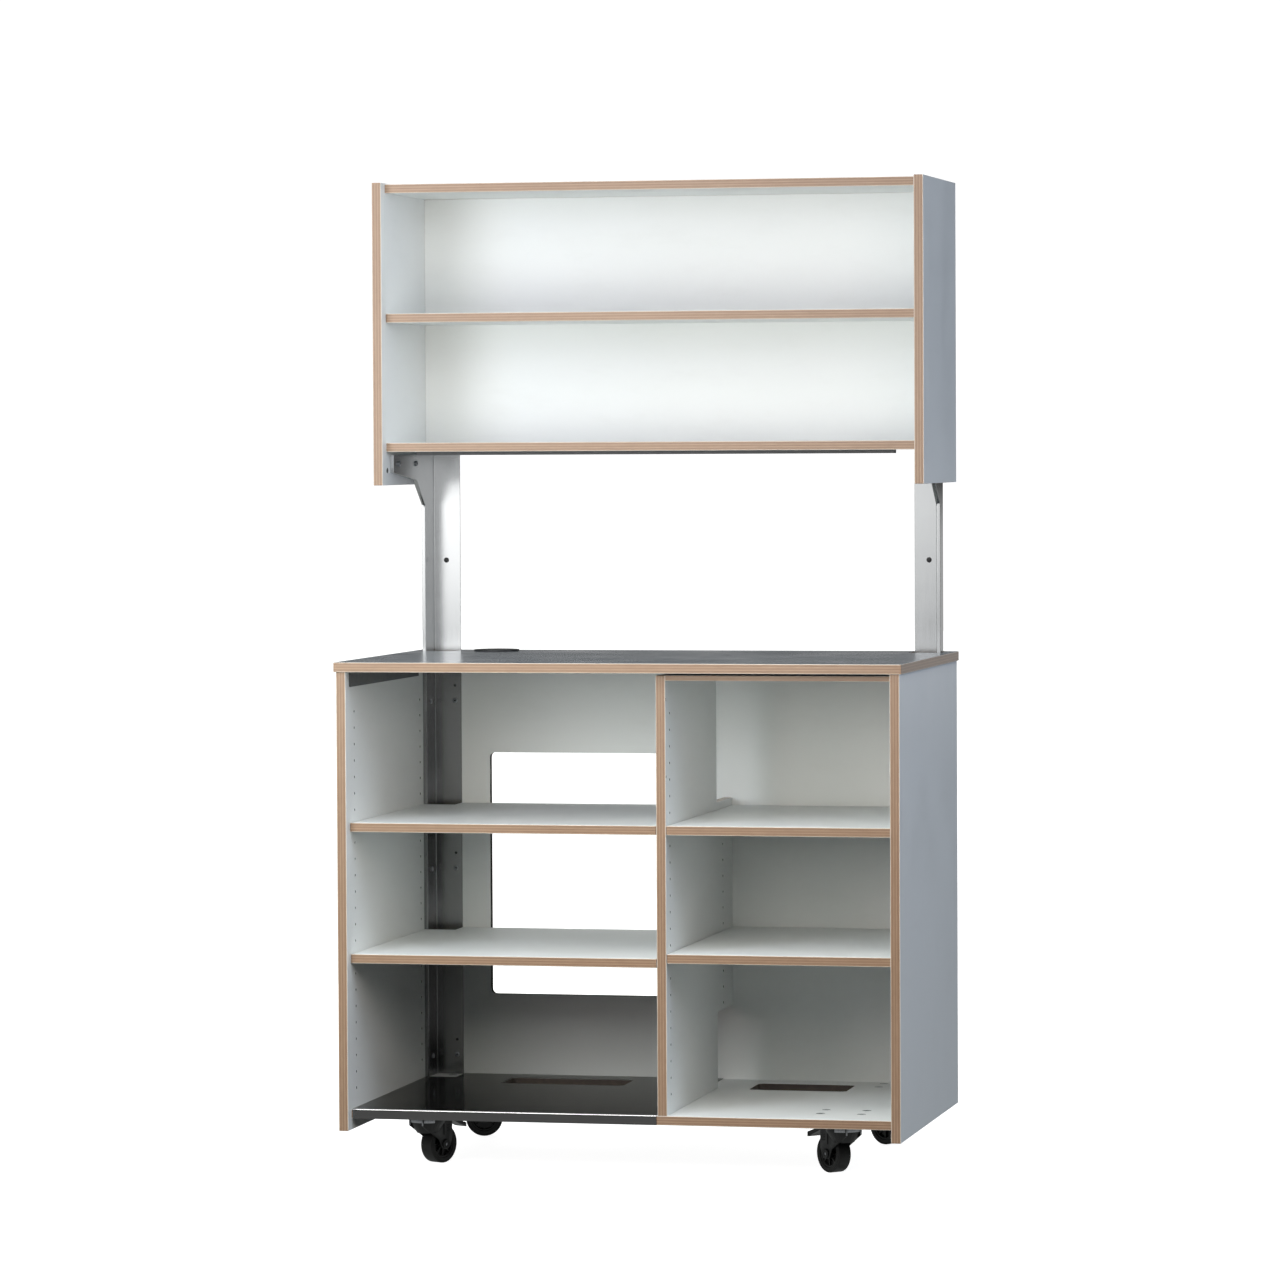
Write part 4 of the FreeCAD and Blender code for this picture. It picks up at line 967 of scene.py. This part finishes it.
# Studio: a pale floor that only the camera sees, a white surround and softboxes all round.
BLACK = (0, 0, 0, 1)
WHITE = (1, 1, 1, 1)
SKY_TINT = (0.98, 1.01, 0.99, 1)
SURROUND_GLOW = 0.36
CEILING_FRONT = 1.22
CEILING_REAR = 0.7
BACKDROP_GLOW = 1.1
PAPER_PALE = (0.58, 0.58, 0.58, 1)
PAPER_DARK = (0.55, 0.55, 0.55, 1)
FLOOR_HALF = 30.0
floor_mesh = bpy.data.meshes.new("floor")
corners = [(-FLOOR_HALF, -FLOOR_HALF, 0), (FLOOR_HALF, -FLOOR_HALF, 0),
           (FLOOR_HALF, FLOOR_HALF, 0), (-FLOOR_HALF, FLOOR_HALF, 0)]
floor_mesh.from_pydata(corners, [], [(0, 1, 2, 3)])
floor = bpy.data.objects.new("floor", floor_mesh)
bpy.context.scene.collection.objects.link(floor)
floor_finish = Finish("floor_paper", Roughness=0.9, Specular_IOR_Level=0.0, Emission_Strength=0.95)
paper = floor_finish.graph.noise(floor_finish.place, 40.0, 4.0)
floor_finish.set(Base_Color=floor_finish.graph.mix(paper, PAPER_DARK, PAPER_PALE))
floor_finish.set(Emission_Color=WHITE)
floor_mesh.materials.append(floor_finish.material)
floor.visible_diffuse = False
floor.visible_glossy = False

world = bpy.data.worlds.new("studio")
world.use_nodes = True
bpy.context.scene.world = world
surround = Graph(world.node_tree)
backdrop = world.node_tree.nodes["Background"]
direction = surround.split(surround.node("ShaderNodeTexCoord").outputs["Generated"])
overhead = surround.span(direction["Z"], 0.25, 0.75)
front_to_rear = surround.span(direction["Y"], -0.4, 0.4, CEILING_FRONT, CEILING_REAR)
ceiling = surround.math("MULTIPLY", overhead, front_to_rear)
below = surround.span(direction["Z"], -0.15, -0.03, 1.0, 0.0)
sides = surround.span(direction["X"], -0.8, -0.5, 1.0, 0.0)
mirrored_glow = surround.math("MULTIPLY", surround.math("MAXIMUM", below, sides), SURROUND_GLOW)
rays = surround.node("ShaderNodeLightPath").outputs
around = surround.math("MULTIPLY", rays["Is Glossy Ray"], mirrored_glow)
seen = rays["Is Camera Ray"]
surround.feed(backdrop.inputs["Color"], surround.mix(seen, SKY_TINT, WHITE))
glow = surround.blend(seen, surround.math("ADD", ceiling, around), BACKDROP_GLOW)
surround.feed(backdrop.inputs["Strength"], glow)


def softbox(name, place, aim, size, power, colour=(1, 1, 1)):
    """A square soft light that lights surfaces without showing in them."""
    lamp = bpy.data.lights.new(name, "AREA")
    lamp.shape = "SQUARE"
    lamp.size = size
    lamp.energy = power
    lamp.color = colour
    light = bpy.data.objects.new(name, lamp)
    light.location = place
    light.rotation_euler = (Vector(aim) - Vector(place)).to_track_quat("-Z", "Y").to_euler()
    light.visible_camera = False
    light.visible_glossy = False
    bpy.context.scene.collection.objects.link(light)


LOW_AIM = (0, 0, 0.8)
BASE_AIM = (0, 0, 0.9)
LEVEL_AIM = (0, 0, 1.0)
WHOLE_AIM = (0, 0, 1.1)
UPPER_AIM = (0, 0, 1.4)
softbox("level_softbox", (-1.4, -3.2, 1.25), LEVEL_AIM, 1.0, 19, (1.1, 0.96, 0.94))
softbox("left_softbox", (-1.5, -2.6, 1.9), UPPER_AIM, 1.0, 13.5, (0.9, 0.9, 1.2))
softbox("right_softbox", (1.5, -2.6, 1.9), UPPER_AIM, 1.0, 8.5, (1.1, 0.95, 0.95))
softbox("near_softbox", (0.1, -1.9, 1.15), BASE_AIM, 0.7, 13, (1.05, 1.02, 0.93))
softbox("near_left_softbox", (-1.1, -1.9, 1.15), BASE_AIM, 0.7, 7.5, (0.8, 1.1, 1.1))
softbox("steep_softbox", (0.0, -1.7, 2.2), LOW_AIM, 0.8, 8.5)
softbox("side_softbox", (3.6, -1.0, 1.9), WHOLE_AIM, 1.6, 31, (0.8, 0.95, 1.24))
softbox("rear_softbox", (-1.2, 3.6, 1.0), WHOLE_AIM, 1.6, 32)
softbox("rear_left_softbox", (-3.6, 1.4, 1.9), WHOLE_AIM, 1.6, 40)

# Screens that show only in reflections.
FRONT_GLOW = 2.45
FRONT_RIGHT_SHARE = 0.45
REAR_GLOW = 0.5
SIDE_GLOW = 1.2
CEILING_GLOW = 5.0
FLOOR_GLOW = 0.3
FLOOR_FAR_SHARE = 0.15
FRONT_FOOT = 0.77
FRONT_FULL = 1.07
SIDE_FOOT = 0.9
SIDE_FULL = 1.1


def reflected_screen(name, corner, width, height, glow):
    """A screen that only mirrored rays meet, from a corner along two sides; gives its finish."""
    corner, width, height = Vector(corner), Vector(width), Vector(height)
    mesh = bpy.data.meshes.new(name)
    mesh.from_pydata([corner, corner + width, corner + width + height, corner + height], [], [(0, 1, 2, 3)])
    screen = bpy.data.objects.new(name, mesh)
    bpy.context.scene.collection.objects.link(screen)
    finish = Finish(name, Base_Color=BLACK, Specular_IOR_Level=0.0, Emission_Strength=glow)
    mesh.materials.append(finish.material)
    for ray in ("camera", "diffuse", "transmission", "volume_scatter", "shadow"):
        setattr(screen, f"visible_{ray}", False)
    return finish


def set_glow(finish, share):
    finish.set(Emission_Color=finish.graph.mix(share, BLACK, WHITE))


front_screen = reflected_screen("front_screen", (-2.2, -2.9, FRONT_FOOT), (4.5, 0, 0), (0, 0, 1.73),
                                FRONT_GLOW)
graph = front_screen.graph
across, _, upward = graph.split(front_screen.place)
cloth = graph.span(across, -0.9, 0.1, 1.0, FRONT_RIGHT_SHARE)
cloth = graph.math("MULTIPLY", cloth, graph.span(upward, FRONT_FOOT, FRONT_FULL))
met_matt = graph.math("GREATER_THAN", graph.node("ShaderNodeLightPath").outputs["Diffuse Depth"], 0.5)
set_glow(front_screen, graph.blend(met_matt, cloth, 0.0))
side_screen = reflected_screen("side_screen", (3.4, -2.5, SIDE_FOOT), (0, 2.7, 0), (0, 0, 1.3), SIDE_GLOW)
upward = side_screen.graph.split(side_screen.place)["Z"]
set_glow(side_screen, side_screen.graph.span(upward, SIDE_FOOT, SIDE_FULL))
rear_screen = reflected_screen("rear_screen", (-3.0, 2.9, 0.75), (6.0, 0, 0), (0, 0, 0.6), REAR_GLOW)
upward = rear_screen.graph.split(rear_screen.place)["Z"]
set_glow(rear_screen, rear_screen.graph.span(upward, 1.2, 1.32, 1.0, 0.0))
ceiling_screen = reflected_screen("ceiling_screen", (-2.0, -3.0, 3.0), (4.0, 0, 0), (0, 2.4, 0),
                                  CEILING_GLOW)
forward = ceiling_screen.graph.split(ceiling_screen.place)["Y"]
set_glow(ceiling_screen, ceiling_screen.graph.span(forward, -1.4, -0.6, 1.0, 0.0))
floor_screen = reflected_screen("floor_screen", (-3.0, -8.0, 0.0), (6.0, 0, 0), (0, 7.6, 0), FLOOR_GLOW)
forward = floor_screen.graph.split(floor_screen.place)["Y"]
set_glow(floor_screen, floor_screen.graph.span(forward, -2.0, -1.5, FLOOR_FAR_SHARE, 1.0))

# The camera stands far off to the front right, a little above the worktop.
CAMERA_PLACE = Vector((2.3793, -10.7263, 1.4174))
VIEW_TURN = 0.2204
VIEW_DIP = 0.0357
VIEW_ROLL = -0.0051
FOCAL_SHARE = 5567 / 1280
camera_data = bpy.data.cameras.new("camera")
camera_data.sensor_width = 36.0
camera_data.lens = FOCAL_SHARE * camera_data.sensor_width
camera_data.clip_end = 100.0
camera = bpy.data.objects.new("camera", camera_data)
bpy.context.scene.collection.objects.link(camera)
ahead = Vector((-math.sin(VIEW_TURN) * math.cos(VIEW_DIP), math.cos(VIEW_TURN) * math.cos(VIEW_DIP),
                -math.sin(VIEW_DIP)))
level = Vector((math.cos(VIEW_TURN), math.sin(VIEW_TURN), 0))
above = level.cross(ahead)
right = math.cos(VIEW_ROLL) * level + math.sin(VIEW_ROLL) * above
up = math.cos(VIEW_ROLL) * above - math.sin(VIEW_ROLL) * level
camera.matrix_world = Matrix.Translation(CAMERA_PLACE) @ Matrix((right, up, -ahead)).transposed().to_4x4()
bpy.context.scene.camera = camera
bpy.context.scene.view_settings.view_transform = "Standard"
